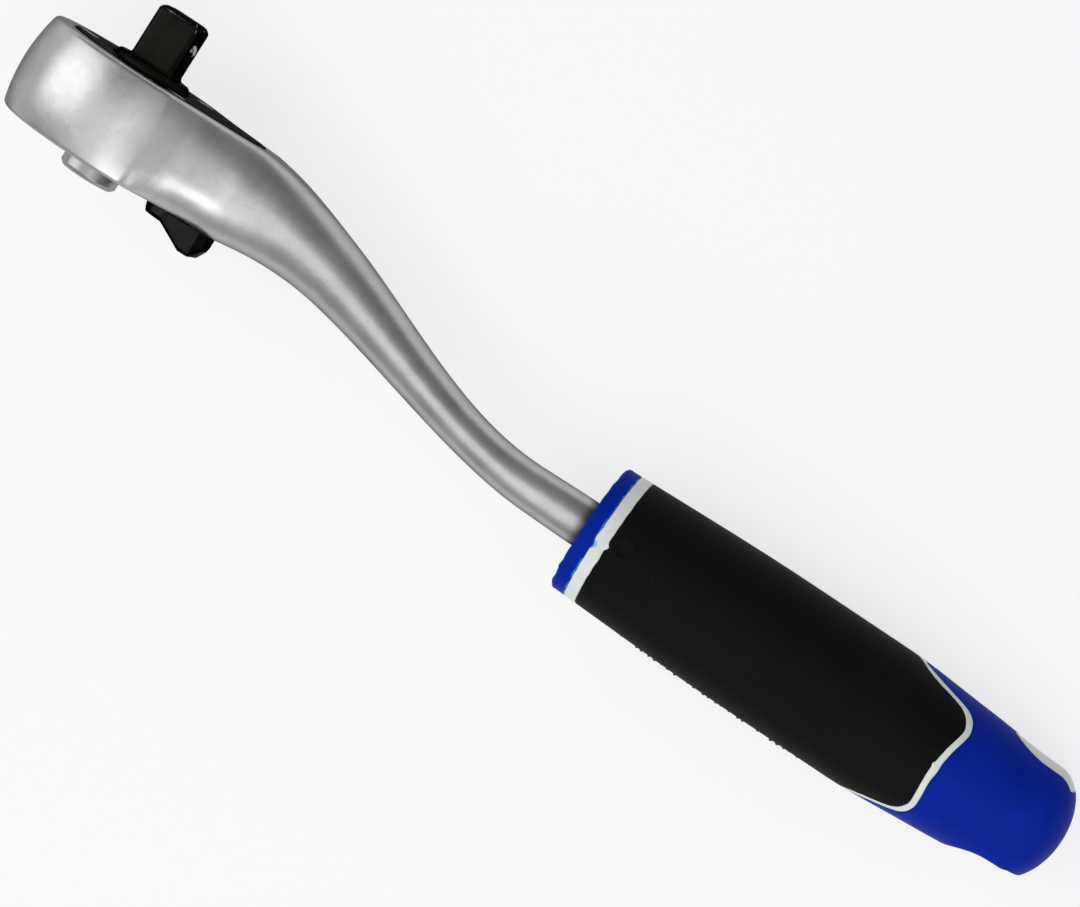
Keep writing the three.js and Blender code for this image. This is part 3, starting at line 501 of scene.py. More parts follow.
def turned(profile, columns, x=0.0, z=0.0):
    """Surface of revolution about the drive's direction: radius and height pairs carried round a circle."""
    radius, height = np.array(profile, float).T[:, :, None]
    return round_drive(radius, height, turns(columns), x, z)


def plug(name, radius, low, high, x=0.0, z=0.0, columns=64):
    """Closed round cutter along the drive's direction."""
    return grid_object(name, turned([(0, low), (radius, low), (radius, high), (0, high)], columns, x, z))


def round_handle(x, radius, turn):
    """Rings round the handle's axis: an angle of 0 faces +Z, and +90 degrees faces +Y."""
    x, radius, turn = np.broadcast_arrays(x, radius, turn)
    return np.stack([x, HANDLE_Y + radius * np.sin(turn), radius * np.cos(turn)], -1)


def places_on_handle(piece):
    """Place along the handle, and angle round its axis, of each of a piece's points."""
    x, y, z = points_of(piece).T
    return x, np.arctan2(y - HANDLE_Y, z)


# Forged body


# Points down one side of a section
SECTION_STEPS = 49
# Share of the half height over which the extra rounding of the back sets in
BACK_SPREAD = 0.7
# Roundness of the arm, where 1 is an ellipse
ARM_ROUNDNESS = 0.97
# Points round a pear outline
PEAR_COLUMNS = 360
# How far a cutter runs past what it cuts
PAST = 1.0
# Inside the head: the pawl pin's bore and its depth, the room for the lever's ring, the gap under the plate
PIN_BORE, PIN_DEPTH = 1.44, 1.2
RING_POCKET = 6.0
PLATE_GAP = 0.05


def section(half_width, half_height, roundness, back_extra, head):
    """One side of each section from top to bottom: its fall back from the full width, and its height.

    The head's wall falls back by a parabola, and by a quarter circle at each rim. The arm's side is half an
    ellipse. The roundness mixes the two at every height, and the extra share rounds the lower half more.
    """
    share = np.sin(np.linspace(np.pi / 2, -np.pi / 2, SECTION_STEPS))
    wide, high = half_width[:, None], half_height[:, None] * share
    mixed = mix(roundness[:, None], 1.0, back_extra[:, None] * smooth_step(-share / BACK_SPREAD))
    past = np.maximum(np.abs(high) - half_height[:, None] + head.rim_round, 0)
    rim = head.rim_round - np.sqrt(np.maximum(head.rim_round**2 - past**2, 0))
    ellipse = wide * (1 - np.sqrt(np.maximum(1 - share**2, 0)))
    return mix(head.crown * share**2 + rim, ellipse, mixed), high


def arm_sections(x, grow=0.0):
    """Drop from the full width, height, middle level and half width of sections along the arm."""
    head, arm = sizes("ratchet_head"), sizes("ratchet_arm")
    radius = head.diameter / 2
    flank_x, flank_half = radius * np.sin(head.flank), radius * np.cos(head.flank)
    shank_x = (HANDLE_FRONT + arm.spade_x) / 2
    half_width = grow + through(
        [
            (flank_x, flank_half),
            (arm.throat_x, arm.throat_width / 2),
            (arm.neck_x, arm.neck_width / 2),
            (arm.shoulder_x, arm.shoulder_width / 2),
            (arm.waist_x, arm.waist_width / 2),
            (HANDLE_FRONT, arm.shank / 2),
            (shank_x, arm.shank / 2),
            (arm.spade_x, arm.spade_width / 2),
        ],
        x,
    )
    half_height = grow + through(
        [
            (arm.neck_x, head.thickness / 2),
            (arm.shoulder_x, arm.shoulder_thickness / 2),
            (arm.waist_x, arm.waist_thickness / 2),
            (HANDLE_FRONT, arm.shank / 2),
            (shank_x, arm.shank / 2),
            (arm.spade_x, arm.spade_thickness / 2),
        ],
        x,
    )
    roundness = ARM_ROUNDNESS * smooth_step((x - arm.round_start) / (arm.shoulder_x - arm.round_start))
    back_extra = arm.back_round * smooth_step((x - arm.back_start) / (arm.back_end - arm.back_start))
    drop, high = section(half_width, half_height, roundness, back_extra, head)
    middle = FACE_Y - head.thickness / 2
    level = middle - arm.offset * smooth_step((x - arm.bend_start) / (arm.bend_end - arm.bend_start))
    return drop, high, level, half_width


def both_sides(x, y, z):
    """Closed rings from one side's rows: down one side and up the other."""
    near = np.stack([x, y, z], -1)
    far = np.stack([x, y, -z], -1)[:, ::-1]
    return np.concatenate([near, far], 1)


def arm_rings(x, grow=0.0, lean=0.0):
    """Rings across the arm. Lean turns a ring's rims back, as on the round head, where the two meet."""
    drop, high, level, half_width = arm_sections(x, grow)
    slant = sizes("ratchet_head").flank * np.broadcast_to(lean, x.shape)[:, None]
    return both_sides(
        x[:, None] - drop * np.sin(slant),
        level[:, None] + high,
        np.maximum(half_width[:, None] - drop * np.cos(slant), 0),
    )


def nose_rings(turn):
    """Rings round the head's nose: the crowned wall turned about the drive's axis, from straight ahead."""
    head = sizes("ratchet_head")
    radius = np.full(turn.shape, head.diameter / 2)
    straight = np.zeros(turn.shape)
    drop, high = section(radius, np.full(turn.shape, head.thickness / 2), straight, straight, head)
    wide = radius[:, None] - drop
    middle = FACE_Y - head.thickness / 2
    return both_sides(-wide * np.cos(turn)[:, None], middle + high, wide * np.sin(turn)[:, None])


def closed_ends(rings):
    """Rings with a pole at each end."""
    ends = rings[[0, -1]].mean(1, keepdims=True) + 0 * rings[[0, -1]]
    return np.concatenate([ends[:1], rings, ends[1:]])


def shank_cutter(start, grow):
    """Room that the shank takes inside the handle."""
    arm = sizes("ratchet_arm")
    x = np.concatenate([np.linspace(start, arm.spade_x, 24), [arm.spade_end + grow]])
    return grid_object("shank_room", closed_ends(arm_rings(x, grow)))


def pear_radius(turn, radius, tail, tail_x):
    """Distance from the drive's axis to a pear outline: large circle, common tangent, small circle.

    The tangent's divisor has a least value, for the angles where the tangent isn't used.
    """
    least = 0.1
    turn = np.abs((turn + np.pi) % FULL_TURN - np.pi)
    tangent = np.arccos((radius - tail) / tail_x)
    tail_turn = np.arctan2(tail * np.sin(tangent), tail_x + tail * np.cos(tangent))
    small = tail_x * np.cos(turn) + np.sqrt(np.maximum(tail**2 - (tail_x * np.sin(turn)) ** 2, 0))
    line = radius / np.maximum(np.cos(turn - tangent), least)
    return np.where(turn >= tangent, radius, np.where(turn <= tail_turn, small, line))


def pear_rings(rows):
    """Rings that follow the plate's pear outline: each row gives how far it is grown, and its height."""
    plate = sizes("ratchet_plate")
    turn = turns(PEAR_COLUMNS)
    grow, height = np.array(rows, float).T[:, :, None]
    radius = pear_radius(turn, plate.diameter / 2 + grow, plate.tail / 2 + grow, plate.tail_x)
    return round_drive(radius, height, turn)


def screw_profile(grow, above):
    """Half section of a countersunk screw, grown by a gap, with its head's plane at height 0."""
    plate = sizes("ratchet_plate")
    shaft, head = plate.screw_shaft / 2 + grow, plate.screw_head / 2 + grow
    end, cone = -plate.screw_length - grow, -plate.screw_depth - grow
    rim = [(head, -grow)] if above + grow > 0 else []
    return np.array([(0, end), (shaft, end), (shaft, cone), *rim, (head, above), (0, above)])


def screw_place(node):
    """Middle of a screw across the plate, and its head's plane, as deep in the face as the solid's."""
    low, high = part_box(node)
    level = high.y / MM - PLATE_TOP + FACE_Y + sizes("ratchet_plate").proud
    return (low.x + high.x) / 2 / MM, level, (low.z + high.z) / 2 / MM


def screw_cutters():
    """Holes for the three screws."""
    fit = sizes("ratchet_plate").fit
    made = []
    for node in SCREWS:
        x, top, z = screw_place(node)
        profile = screw_profile(fit, above=2 * PAST) + (0, top)
        made.append(grid_object("screw_hole", turned(profile, 48, x, z)))
    return made


class RATCHET_OT_forged_body(bpy.types.Operator):
    """Pear head, S-bent arm and shank: crowned sections round the nose and along the arm, then pocketed"""

    bl_idname = "ratchet.forged_body"
    bl_label = "Forged body"

    def execute(self, context):
        head, arm = sizes("ratchet_head"), sizes("ratchet_arm")
        drive, plate, lever = sizes("ratchet_drive"), sizes("ratchet_plate"), sizes("ratchet_lever")
        flank_x = head.diameter / 2 * np.sin(head.flank)
        nose = nose_rings(np.linspace(0, np.pi / 2 + head.flank, 84)[:-1])
        neck_x = np.linspace(flank_x, arm.neck_x, 26)
        lean = 1 - smooth_step((neck_x - flank_x) / (arm.neck_x - flank_x))
        neck = arm_rings(neck_x, lean=lean)
        along = np.concatenate(
            [
                np.linspace(arm.neck_x, arm.shoulder_x, 34)[1:],
                np.linspace(arm.shoulder_x, HANDLE_FRONT, 90)[1:],
                np.linspace(HANDLE_FRONT, arm.spade_x, 16)[1:],
                [arm.spade_end],
            ]
        )
        rings = np.concatenate([nose, neck, arm_rings(along)])
        end = rings[-1:].mean(1, keepdims=True) + 0 * rings[-1:]
        piece = grid_object("forged_body_shell", np.concatenate([rings, end]))
        back = FACE_Y - head.thickness
        floor, ledge = back + head.back_wall, PLATE_LOW - PLATE_GAP
        above, past = FACE_Y + PAST, back - PAST
        top = ledge + PAST / 2
        least_tail = 0.2
        core = least_tail - plate.tail / 2
        recess = pear_rings(
            [
                (core, ledge),
                (plate.fit, ledge),
                (plate.fit, FACE_Y - head.mouth),
                (plate.fit + head.mouth, FACE_Y),
                (plate.fit + head.mouth, above),
                (core, above),
            ]
        )
        cutters = [
            grid_object("recess", closed_ends(recess)),
            plug("gear_pocket", head.gear_pocket / 2, floor, top, columns=120),
            plug("pawl_pocket", head.pawl_pocket / 2, floor, top, head.pawl_x),
            plug("hub_bore", drive.hub / 2 + plate.run, past, ledge, columns=120),
            plug("lever_ring_pocket", RING_POCKET / 2, floor, top, lever.place),
            plug("lever_bore", lever.journal / 2 + plate.run, past, ledge, lever.place),
            plug("pawl_pin_bore", PIN_BORE / 2, floor - PIN_DEPTH, ledge, head.pawl_x),
            *screw_cutters(),
        ]
        combine(piece, cutters)
        shade(piece, sharp=32)
        # Painted shade: a band of the shank just ahead of the handle is marked, and the chrome's colour is
        # darkened there to stand in for the collar's shadow
        painted_shade_ahead, painted_shade_width = 0.5, 0.8
        mark(piece, "joint", bump(points_of(piece)[:, 0], HANDLE_FRONT - painted_shade_ahead, painted_shade_width))
        dress(piece, satin_chrome(), "head", "satin_chrome", "forged_body")
        return {"FINISHED"}


# Drive, plate and small pieces


def square_radius(turn, half, edge):
    """Distance from the axis to a square with soft chamfers: a high-power mean of flats and chamfers."""
    power = 70
    c, s = np.abs(np.cos(turn)), np.abs(np.sin(turn))
    half = np.asarray(half, float)[..., None]
    shape = (c / half) ** power + (s / half) ** power + ((c + s) / (2 * half - edge)) ** power
    return shape ** (-1 / power)


def tooth_radius(turn, drive):
    """Distance from the axis to the gear's edge: flat tips and roots joined by straight flanks.

    Half a tip and a flank are shares of the pitch.
    """
    half_tip, flank = 0.07, 0.36
    pitch = FULL_TURN / drive.teeth
    away = np.abs((turn / pitch + 0.5) % 1 - 0.5)
    return drive.gear / 2 - drive.tooth * np.clip((away - half_tip) / flank, 0, 1)


def tang_wear(points, drive):
    """Wear on the square: bells round its edges, which fade towards the collar, and round its tip."""
    edge_wear, edge_width = 0.7, 0.08
    tip_wear, tip_width, tip_level = 0.76, 0.22, -0.5
    wear_start, wear_length = -4.5, 2.5
    core, foot = 2.4, 0.4
    x, y, z = points.T
    outside = np.hypot(x, z) > core
    corner = np.abs((np.arctan2(z, x) / (np.pi / 4) + 1) % 2 - 1)
    tang = (y > drive.collar_top + foot) & outside
    edges = edge_wear * bump(corner, 1.0, edge_width) * tang * smooth_step((y - wear_start) / wear_length)
    tips = tip_wear * bump(y, tip_level, tip_width) * outside
    return np.maximum(edges, tips)


class RATCHET_OT_drive(bpy.types.Operator):
    """Toothed drive: rows whose outline goes from the bored hub to the gear, the collar and the square"""

    bl_idname = "ratchet.drive"
    bl_label = "Drive"

    def execute(self, context):
        drive = sizes("ratchet_drive")
        turn = turns(drive.teeth * 8)
        bore, rod, hub = drive.bore / 2, drive.rod_bore / 2, drive.hub / 2
        groove = bore + drive.ring_bite
        bore_edge, hub_edge = 0.12, 0.2
        inside = [
            (0, ROD_END + drive.rod_room),
            (rod, ROD_END + drive.rod_room),
            (rod, drive.spring_seat),
            (bore, drive.spring_seat),
            (bore, drive.ring_high),
            (groove, drive.ring_high),
            (groove, drive.ring_low),
            (bore, drive.ring_low),
            (bore, HUB_END + bore_edge),
            (bore + bore_edge, HUB_END),
            (hub - hub_edge, HUB_END),
            (hub, HUB_END + hub_edge),
            (hub, drive.gear_low),
        ]
        collar = drive.collar / 2
        half = drive.square / 2
        land, straight_end = 0.2, -2.2
        over = soften(
            [
                (collar, drive.gear_top),
                (collar, drive.collar_top - drive.collar_edge),
                (collar - drive.collar_edge, drive.collar_top),
                (collar - drive.collar_edge - land, drive.collar_top),
            ],
            reach=0.16,
        )
        rise = drive.fillet * (1 - np.cos(np.linspace(0, np.pi / 2, 9)))
        spread = drive.fillet - np.sqrt(drive.fillet**2 - (drive.fillet - rise) ** 2)
        straight = np.linspace(drive.collar_top + drive.fillet, straight_end, 10)[1:-1]
        tip = soften(
            [(0, straight_end), (0, -drive.tip), (drive.tip, 0), (half - 2 * land, 0)],
            reach=0.34,
        )
        square_rows = np.vstack(
            [
                square_radius(turn, half + 0 * rise, drive.edge) + spread[:, None],
                square_radius(turn, half + 0 * straight, drive.edge),
                square_radius(turn, half - tip[:, 0], drive.edge),
            ]
        )
        square_heights = np.concatenate([drive.collar_top + rise, straight, tip[:, 1]])
        flat = 0 * turn
        teeth = tooth_radius(turn, drive)
        inside = np.array(inside)
        radius = np.vstack(
            [inside[:, :1] + flat, teeth[None], teeth[None], over[:, :1] + flat, square_rows, flat[None]]
        )
        height = np.concatenate(
            [inside[:, 1], [drive.gear_low, drive.gear_top], over[:, 1], square_heights, [0.0]]
        )[:, None]
        piece = grid_object("drive_square", round_drive(radius, height, turn))
        # Bore for the ball: narrow inside, with a cone to a wider mouth at the flat
        narrow, wide = 1.12, 1.2
        cone_start, cone_end, past = 2.8, 3.3, half + PAST
        hole = turned(
            [(0, 0), (narrow, 0), (narrow, cone_start), (wide, cone_end), (wide, past), (0, past)],
            48,
        )
        hole = np.stack([hole[..., 1], drive.ball_y + hole[..., 0], hole[..., 2]], -1)
        combine(piece, [grid_object("ball_hole", hole)])
        shade(piece, sharp=38)
        mark(piece, "edge", tang_wear(points_of(piece), drive))
        dress(piece, black_oxide(), "drive", "black_oxide", "drive_gear")
        return {"FINISHED"}


class RATCHET_OT_cover_plate(bpy.types.Operator):
    """Pear-shaped cover plate: rows from the collar's hole to the pear outline, with screw holes"""

    bl_idname = "ratchet.cover_plate"
    bl_label = "Cover plate"

    def execute(self, context):
        plate, drive = sizes("ratchet_plate"), sizes("ratchet_drive")
        hole, top = drive.collar / 2 + plate.run, FACE_Y + plate.proud
        border, soft = 1.0, 0.1
        inner = soften(
            [(hole, PLATE_LOW), (hole, top - plate.edge), (hole + plate.edge, top), (hole + border, top)],
            soft,
        )
        outer = soften([(-border, top), (-plate.edge, top), (0, top - plate.edge), (0, PLATE_LOW)], soft)
        rows = np.concatenate([turned(inner, PEAR_COLUMNS), pear_rings(outer)])
        piece = grid_object("cover_plate_shell", rows, wrap_rows=True)
        combine(piece, screw_cutters())
        shade(piece, sharp=35)
        rim_wear, rim_width, rim_depth = 0.8, 0.25, 0.4
        x, y, z = points_of(piece).T
        outline = pear_radius(np.arctan2(z, x), plate.diameter / 2, plate.tail / 2, plate.tail_x)
        rim = bump(np.hypot(x, z), outline, rim_width) * (y > top - rim_depth)
        mark(piece, "edge", rim_wear * rim)
        dress(piece, black_oxide(), "head", "black_oxide", "cover_plate")
        return {"FINISHED"}


class RATCHET_OT_cover_screws(bpy.types.Operator):
    """Three slotted countersunk screws: turned half sections with a slot cut across each head"""

    bl_idname = "ratchet.cover_screws"
    bl_label = "Cover screws"

    def execute(self, context):
        plate = sizes("ratchet_plate")
        finish = hard_steel()
        for node in SCREWS:
            x, top, z = screw_place(node)
            profile = soften(screw_profile(grow=0.0, above=0.0), reach=0.08, steps=4) + (0, top)
            piece = grid_object(f"{node}_turned", turned(profile, 64, x, z))
            deep, wide = plate.slot_depth, plate.slot_width / 2
            ends = np.array([-plate.screw_head, plate.screw_head])[:, None]
            across = np.array([wide, wide, -wide, -wide])
            up = np.array([-deep, PAST, PAST, -deep])
            slot = np.stack([x + ends + 0 * across, top + up + 0 * ends, z + across + 0 * ends], -1)
            combine(piece, [grid_object("slot", closed_ends(slot))])
            shade(piece, sharp=32)
            dress(piece, finish, "head", "hard_steel", node)
        return {"FINISHED"}


class RATCHET_OT_lever(bpy.types.Operator):
    """Reversing lever: sections along the thumb piece, whose width and depth follow facets, on a shaft"""

    bl_idname = "ratchet.lever"
    bl_label = "Reversing lever"

    def execute(self, context):
        head, lever, plate = sizes("ratchet_head"), sizes("ratchet_lever"), sizes("ratchet_plate")
        top = FACE_Y - head.thickness - plate.run
        radius, half = lever.disc / 2, lever.tip_width / 2
        reach, drop = LEVER_TIP - lever.place, top - LEVER_LOW + lever.thumb
        bevel = lever.bevel
        first_angle, nose_share, tip_share, most_chamfer = 0.06, 0.4, 1.5, 0.5
        x = np.concatenate(
            [
                -radius * np.cos(np.linspace(first_angle, np.pi / 2, 26)),
                np.linspace(0, lever.full, 10)[1:],
                np.linspace(lever.full, reach - bevel, 4)[1:],
                np.linspace(reach - bevel, reach, 6)[1:],
            ]
        )
        taper = np.interp(x, [0, reach - bevel, reach], [radius, half, half - bevel])
        wide = np.where(x < 0, np.sqrt(np.maximum(radius**2 - x**2, 0)), taper)
        disc = lever.disc_thickness
        deep = np.interp(
            x,
            [-radius, bevel - radius, lever.knee, lever.full, reach - bevel, reach],
            [nose_share * disc, disc, disc, drop, drop, drop - tip_share * bevel],
        )
        chamfer = np.minimum(lever.chamfer, most_chamfer * wide)
        flat = 0 * x
        across = np.stack([wide, wide, wide - chamfer, chamfer - wide, -wide, -wide], -1)
        down = np.stack([flat, chamfer - deep, -deep, -deep, chamfer - deep, flat], -1)
        rings = np.stack([lever.place + x[:, None] + 0 * across, top + down, across], -1)
        piece = grid_object("lever_cast", closed_ends(rings))
        journal, shaft = lever.journal / 2, lever.shaft / 2
        floor = FACE_Y - head.thickness + head.back_wall
        groove = shaft - lever.ring_bite
        stem = turned(
            [
                (0, top - PAST),
                (journal, top - PAST),
                (journal, floor),
                (shaft, floor),
                (shaft, lever.ring_low),
                (groove, lever.ring_low),
                (groove, lever.ring_high),
                (shaft, lever.ring_high),
                (shaft, PLATE_LOW - plate.run),
                (0, PLATE_LOW - plate.run),
            ],
            64,
            lever.place,
        )
        combine(piece, [grid_object("lever_stem", stem)], "UNION")
        hole, mouth = lever.plunger_bore / 2, -lever.journal
        bore = turned([(0, mouth), (hole, mouth), (hole, 0), (0, 0)], 32)
        place = lever.place + lever.plunger_end
        bore = np.stack([place + bore[..., 1], lever.plunger_y + bore[..., 0], bore[..., 2]], -1)
        combine(piece, [grid_object("plunger_bore", bore)])
        shade(piece, sharp=24, bevel=0.14)
        dress(piece, black_casting(), "lever", "black_casting", "lever")
        return {"FINISHED"}


class RATCHET_OT_button_and_ball(bpy.types.Operator):
    """Release button with its rod, turned from a softened half section, and the detent ball"""

    bl_idname = "ratchet.button_and_ball"
    bl_label = "Button and ball"

    def execute(self, context):
        drive = sizes("ratchet_drive")
        button, rod = drive.button / 2, drive.rod / 2
        neck_end = drive.ball_y - drive.travel
        deep, less_deep, dish, soft = 0.08, 0.06, 1.4, 0.12
        face = [
            (0, BUTTON_END + deep),
            (dish, BUTTON_END + less_deep),
            (button - drive.button_edge, BUTTON_END),
        ]
        rim = soften(
            [
                face[2],
                (button, BUTTON_END + drive.button_edge),
                (button, drive.flange_low),
                (button + drive.flange, drive.flange_low),
                (button + drive.flange, drive.flange_high),
                (rod, drive.flange_high),
                (rod, neck_end - 2 * drive.rod_neck),
                (rod - drive.rod_neck, neck_end - drive.rod_neck),
                (rod - drive.rod_neck, neck_end),
                (rod, drive.ball_y),
                (rod, ROD_END),
                (0, ROD_END),
            ],
            soft,
        )
        profile = np.vstack([soften([*face, rim[1]], soft)[:-1], rim[1:]])
        piece = grid_object("release_button_turned", turned(profile, 128))
        shade(piece, sharp=40)
        finish = bright_steel("turned_steel", dull=0.26, rings=True)
        dress(piece, finish, "button", "bright_steel", "release_button")

        ball = drive.ball / 2
        tilt = np.linspace(-np.pi / 2, np.pi / 2, 33)
        centre = drive.square / 2 + drive.ball_proud - ball
        profile = np.stack([ball * np.cos(tilt), drive.ball_y + ball * np.sin(tilt)], -1)
        piece = grid_object("detent_ball_ground", turned(profile, 64, centre))
        shade(piece, sharp=60)
        dress(piece, bright_steel("ground_ball", dull=0.13), "ball", "bright_steel", "detent_ball")
        return {"FINISHED"}


def coil_rings(radius, wire, low, high, coils):
    """Round wire carried along a helix about the drive's axis: each ring lies square to the helix."""
    steps_per_coil, sides = 48, 12
    turn = np.linspace(0, FULL_TURN * coils, int(steps_per_coil * coils))[:, None]
    around = turns(sides)
    climb = (high - low - wire) / (FULL_TURN * coils)
    slope = np.arctan2(climb, radius)
    outward = radius + wire / 2 * np.cos(around)
    upward = wire / 2 * np.sin(around)
    back = upward * np.sin(slope)
    return np.stack(
        [
            outward * np.cos(turn) + back * np.sin(turn),
            low + wire / 2 + climb * turn + upward * np.cos(slope),
            outward * np.sin(turn) - back * np.cos(turn),
        ],
        -1,
    )


class RATCHET_OT_button_spring(bpy.types.Operator):
    """Coil spring under the release button"""

    bl_idname = "ratchet.button_spring"
    bl_label = "Button spring"

    def execute(self, context):
        drive = sizes("ratchet_drive")
        low, high = span("button_spring", 1)
        outer = span("button_spring", 0)[1]
        rings = coil_rings(outer - drive.spring_wire / 2, drive.spring_wire, low, high, drive.spring_turns)
        piece = grid_object("button_spring_coil", closed_ends(rings))
        shade(piece, sharp=50)
        dress(piece, spring_steel(), "drive", "spring_steel", "button_spring")
        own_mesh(piece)
        return {"FINISHED"}


# Handle


# Points round the handle
HANDLE_COLUMNS = 320
# Gap between two colours where they meet, and between two layers of the handle
SEAM_GAP = 0.03
LAYER_GAP = 0.12
# Where the room for the shank starts, ahead of the handle
ROOM_AHEAD = 4.0


def handle_radius(x, below=0.0):
    """Radius of the handle or of a layer below it: a cubic through six diameters, then half an ellipse."""
    h = sizes("ratchet_handle")
    profile = through(
        [
            (HANDLE_FRONT, h.front / 2),
            (h.belly_x, h.belly / 2),
            (h.belly_end_x, h.belly_end / 2),
            (h.rear_x, h.rear / 2),
            (h.butt_x, h.butt / 2),
            (HANDLE_END, h.butt / 2),
        ],
        x,
    )
    dome = h.butt_dome - below
    past = np.clip(x - (HANDLE_END - h.butt_dome), 0, dome)
    return (profile - below) * np.sqrt(1 - (past / dome) ** 2)


def signed(turn):
    """Angles in degrees between -180 and 180."""
    return (np.degrees(turn) + 180) % 360 - 180


def from_seam(turn):
    """Signed degrees from the nearer of the two mould seams, along the sides that face +Z and -Z."""
    degrees = signed(turn)
    away = np.abs(degrees)
    nudge = 1e-9
    side = np.sign(degrees * np.where(away > 90, -1, 1) + nudge)
    return np.where(away > 90, 180 - away, away) * side


def seam_mark(turn, height, place, width):
    """Bell beside each mould seam, with its place and width in degrees."""
    return height * bump(from_seam(turn), place, width)


def off_valley(turn):
    """Degrees from the drive side or the back, whichever is nearer."""
    return np.degrees(np.arcsin(np.minimum(np.abs(np.cos(turn)), 1)))


def ring_edge(turn):
    """Seam between the blue collar and the white ring: level, with a nick at the mould seams."""
    h = sizes("ratchet_handle")
    nick = seam_mark(turn, height=0.16, place=-4, width=2.2)
    nick += seam_mark(turn, height=-0.08, place=3, width=5)
    wave = ripple(turn, height=0.02, seed=3, waves=30, period=FULL_TURN)
    return HANDLE_FRONT + h.blue_ring + nick + wave


def sleeve_start(turn):
    """Seam between the white ring and the black sleeve: level, with a tooth at the mould seams."""
    h = sizes("ratchet_handle")
    tooth = seam_mark(turn, height=0.36, place=0.5, width=2.4)
    tooth += seam_mark(turn, height=0.1, place=-12, width=5)
    wave = ripple(turn, height=0.025, seed=5, waves=36, period=FULL_TURN)
    return HANDLE_FRONT + h.blue_ring + h.white_ring + tooth + wave


def tongue_end(turn):
    """Tongue's end, from its named place: hollow in the middle and longest at the drive side's corner.

    A cubic through degrees from the middle towards the drive side, and millimetres.
    """
    level = np.degrees(np.arcsin(np.sin(turn)))
    return through([(-90, -0.5), (-40, -0.5), (-5, -0.85), (15, -0.5), (40, 0.25), (90, 0.25)], level)


def sleeve_edge(turn):
    """Sleeve's rear edge: a tongue on each side with a hollow end and S-shaped flanks, nicked at the seam.

    A flank is a cubic through degrees from the valley and shares of the way to the tongue's end.
    """
    h = sizes("ratchet_handle")
    rise = through(
        [(0, 0), (17, 0.2), (25, 0.43), (29, 0.65), (34, 0.84), (42, 0.95), (52, 1), (90, 1)],
        off_valley(turn),
    )
    edge = mix(h.valley_x, h.tongue_x + tongue_end(turn), rise)
    return edge + seam_mark(turn, height=-0.2, place=1.5, width=1.6)


def line_edge(turn):
    """White line's outer edge: the tongue's outline moved out, a little wider in the valleys."""
    h = sizes("ratchet_handle")
    valley = [(0, 0), (8, 0.05), (17.5, 0.27), (23.5, 0.5)]
    tongue = [(27.5, 0.7), (32.5, 0.86), (41, 0.96), (52, 1), (90, 1)]
    rise = through(valley + tongue, off_valley(turn))
    low, high = h.valley_x + h.line_valley, h.tongue_x + tongue_end(turn) + h.line_tongue
    return mix(low, high, rise) + seam_mark(turn, height=0.18, place=-3, width=6)


def seam_ridge(turn):
    """Fine ridge that the mould leaves along its two seams."""
    return seam_mark(turn, height=0.025, place=0, width=0.9)


def edge_rows(start, end, wall, outer, groove, steps):
    """Rows of a wall round the handle: up its front edge, along it, down its rear edge and back inside.

    Each row has a place along the handle and a radius, which is the outside's less the row's depth.
    """
    quarter = np.linspace(0, np.pi / 2, 5)[:, None]
    front_x, front_d = start + groove * (1 - np.cos(quarter)), groove * (1 - np.sin(quarter))
    share = np.linspace(0, 1, steps)[1:-1, None]
    along = mix(start + groove, end - groove, share)
    back = np.linspace(1, 0, 12)[:, None]
    inside = mix(start, end, back)
    x = np.concatenate([front_x + 0 * start, along, (end - groove * (1 - np.cos(quarter)))[::-1], inside])
    depth = np.concatenate([front_d, 0 * share, front_d[::-1], wall + 0 * back]) + 0 * start
    return x, outer(x) - depth


def front_collar(finish):
    """Blue collar: a softened profile from its recessed mouth over its ragged lip to the white ring."""
    h, arm = sizes("ratchet_handle"), sizes("ratchet_arm")
    turn = turns(HANDLE_COLUMNS)
    edge = ring_edge(turn) - SEAM_GAP
    radius, mouth = h.front / 2, arm.shank / 2 + h.shank_room
    mouth_depth, mouth_flare = 1.5, 0.1
    bevel_depth, bevel_width = 0.25, 0.5
    lip_length, lip_width, lip_spread = 0.3, 0.8, 0.4
    lip_start, lip_end = 0.03, 0.05
    rear_radius = 6.0
    face = soften(
        [
            (HANDLE_FRONT + mouth_depth, 0.0),
            (HANDLE_FRONT + mouth_depth, mouth),
            (HANDLE_FRONT + bevel_depth, mouth + mouth_flare),
            (HANDLE_FRONT, mouth + bevel_width),
            (HANDLE_FRONT, radius - h.front_round),
            (HANDLE_FRONT + h.front_round, radius + lip_start),
            (HANDLE_FRONT + h.front_round + lip_length, radius + lip_end),
        ],
        reach=0.3,
    )
    wave = ripple(turn, height=0.05, seed=11, waves=26, period=FULL_TURN)
    chip_height = 0.16
    chip = chip_height * bump(signed(turn), middle=-38, width=3)
    lip = bump(face[:, 1:], radius - lip_length, lip_width) * (wave + chip)
    front_x = face[:, :1] - lip
    front_r = face[:, 1:] + lip_spread * lip
    share = np.linspace(0, 1, 6)[1:, None]
    along = mix(front_x[-1:], edge - h.groove, share)
    quarter = np.linspace(0, np.pi / 2, 4)[1:, None]
    rear_x = edge - h.groove * (1 - np.sin(quarter))
    rear_r = handle_radius(rear_x) - h.groove * (1 - np.cos(quarter))
    axis = 0 * edge[None]
    x = np.concatenate([front_x, along, rear_x, edge[None], axis + edge.mean()])
    outer = np.concatenate([front_r, handle_radius(along), rear_r, axis + rear_radius, axis])
    piece = grid_object("front_collar_moulded", round_handle(x, outer, turn))
    combine(piece, [shank_cutter(HANDLE_FRONT - ROOM_AHEAD, LAYER_GAP)])
    shade(piece, sharp=40)
    place, around = places_on_handle(piece)
    mark(piece, "bleed", bump(place, ring_edge(around), width=0.42))
    dress(piece, finish, "head", "blue_plastic", "front_collar")


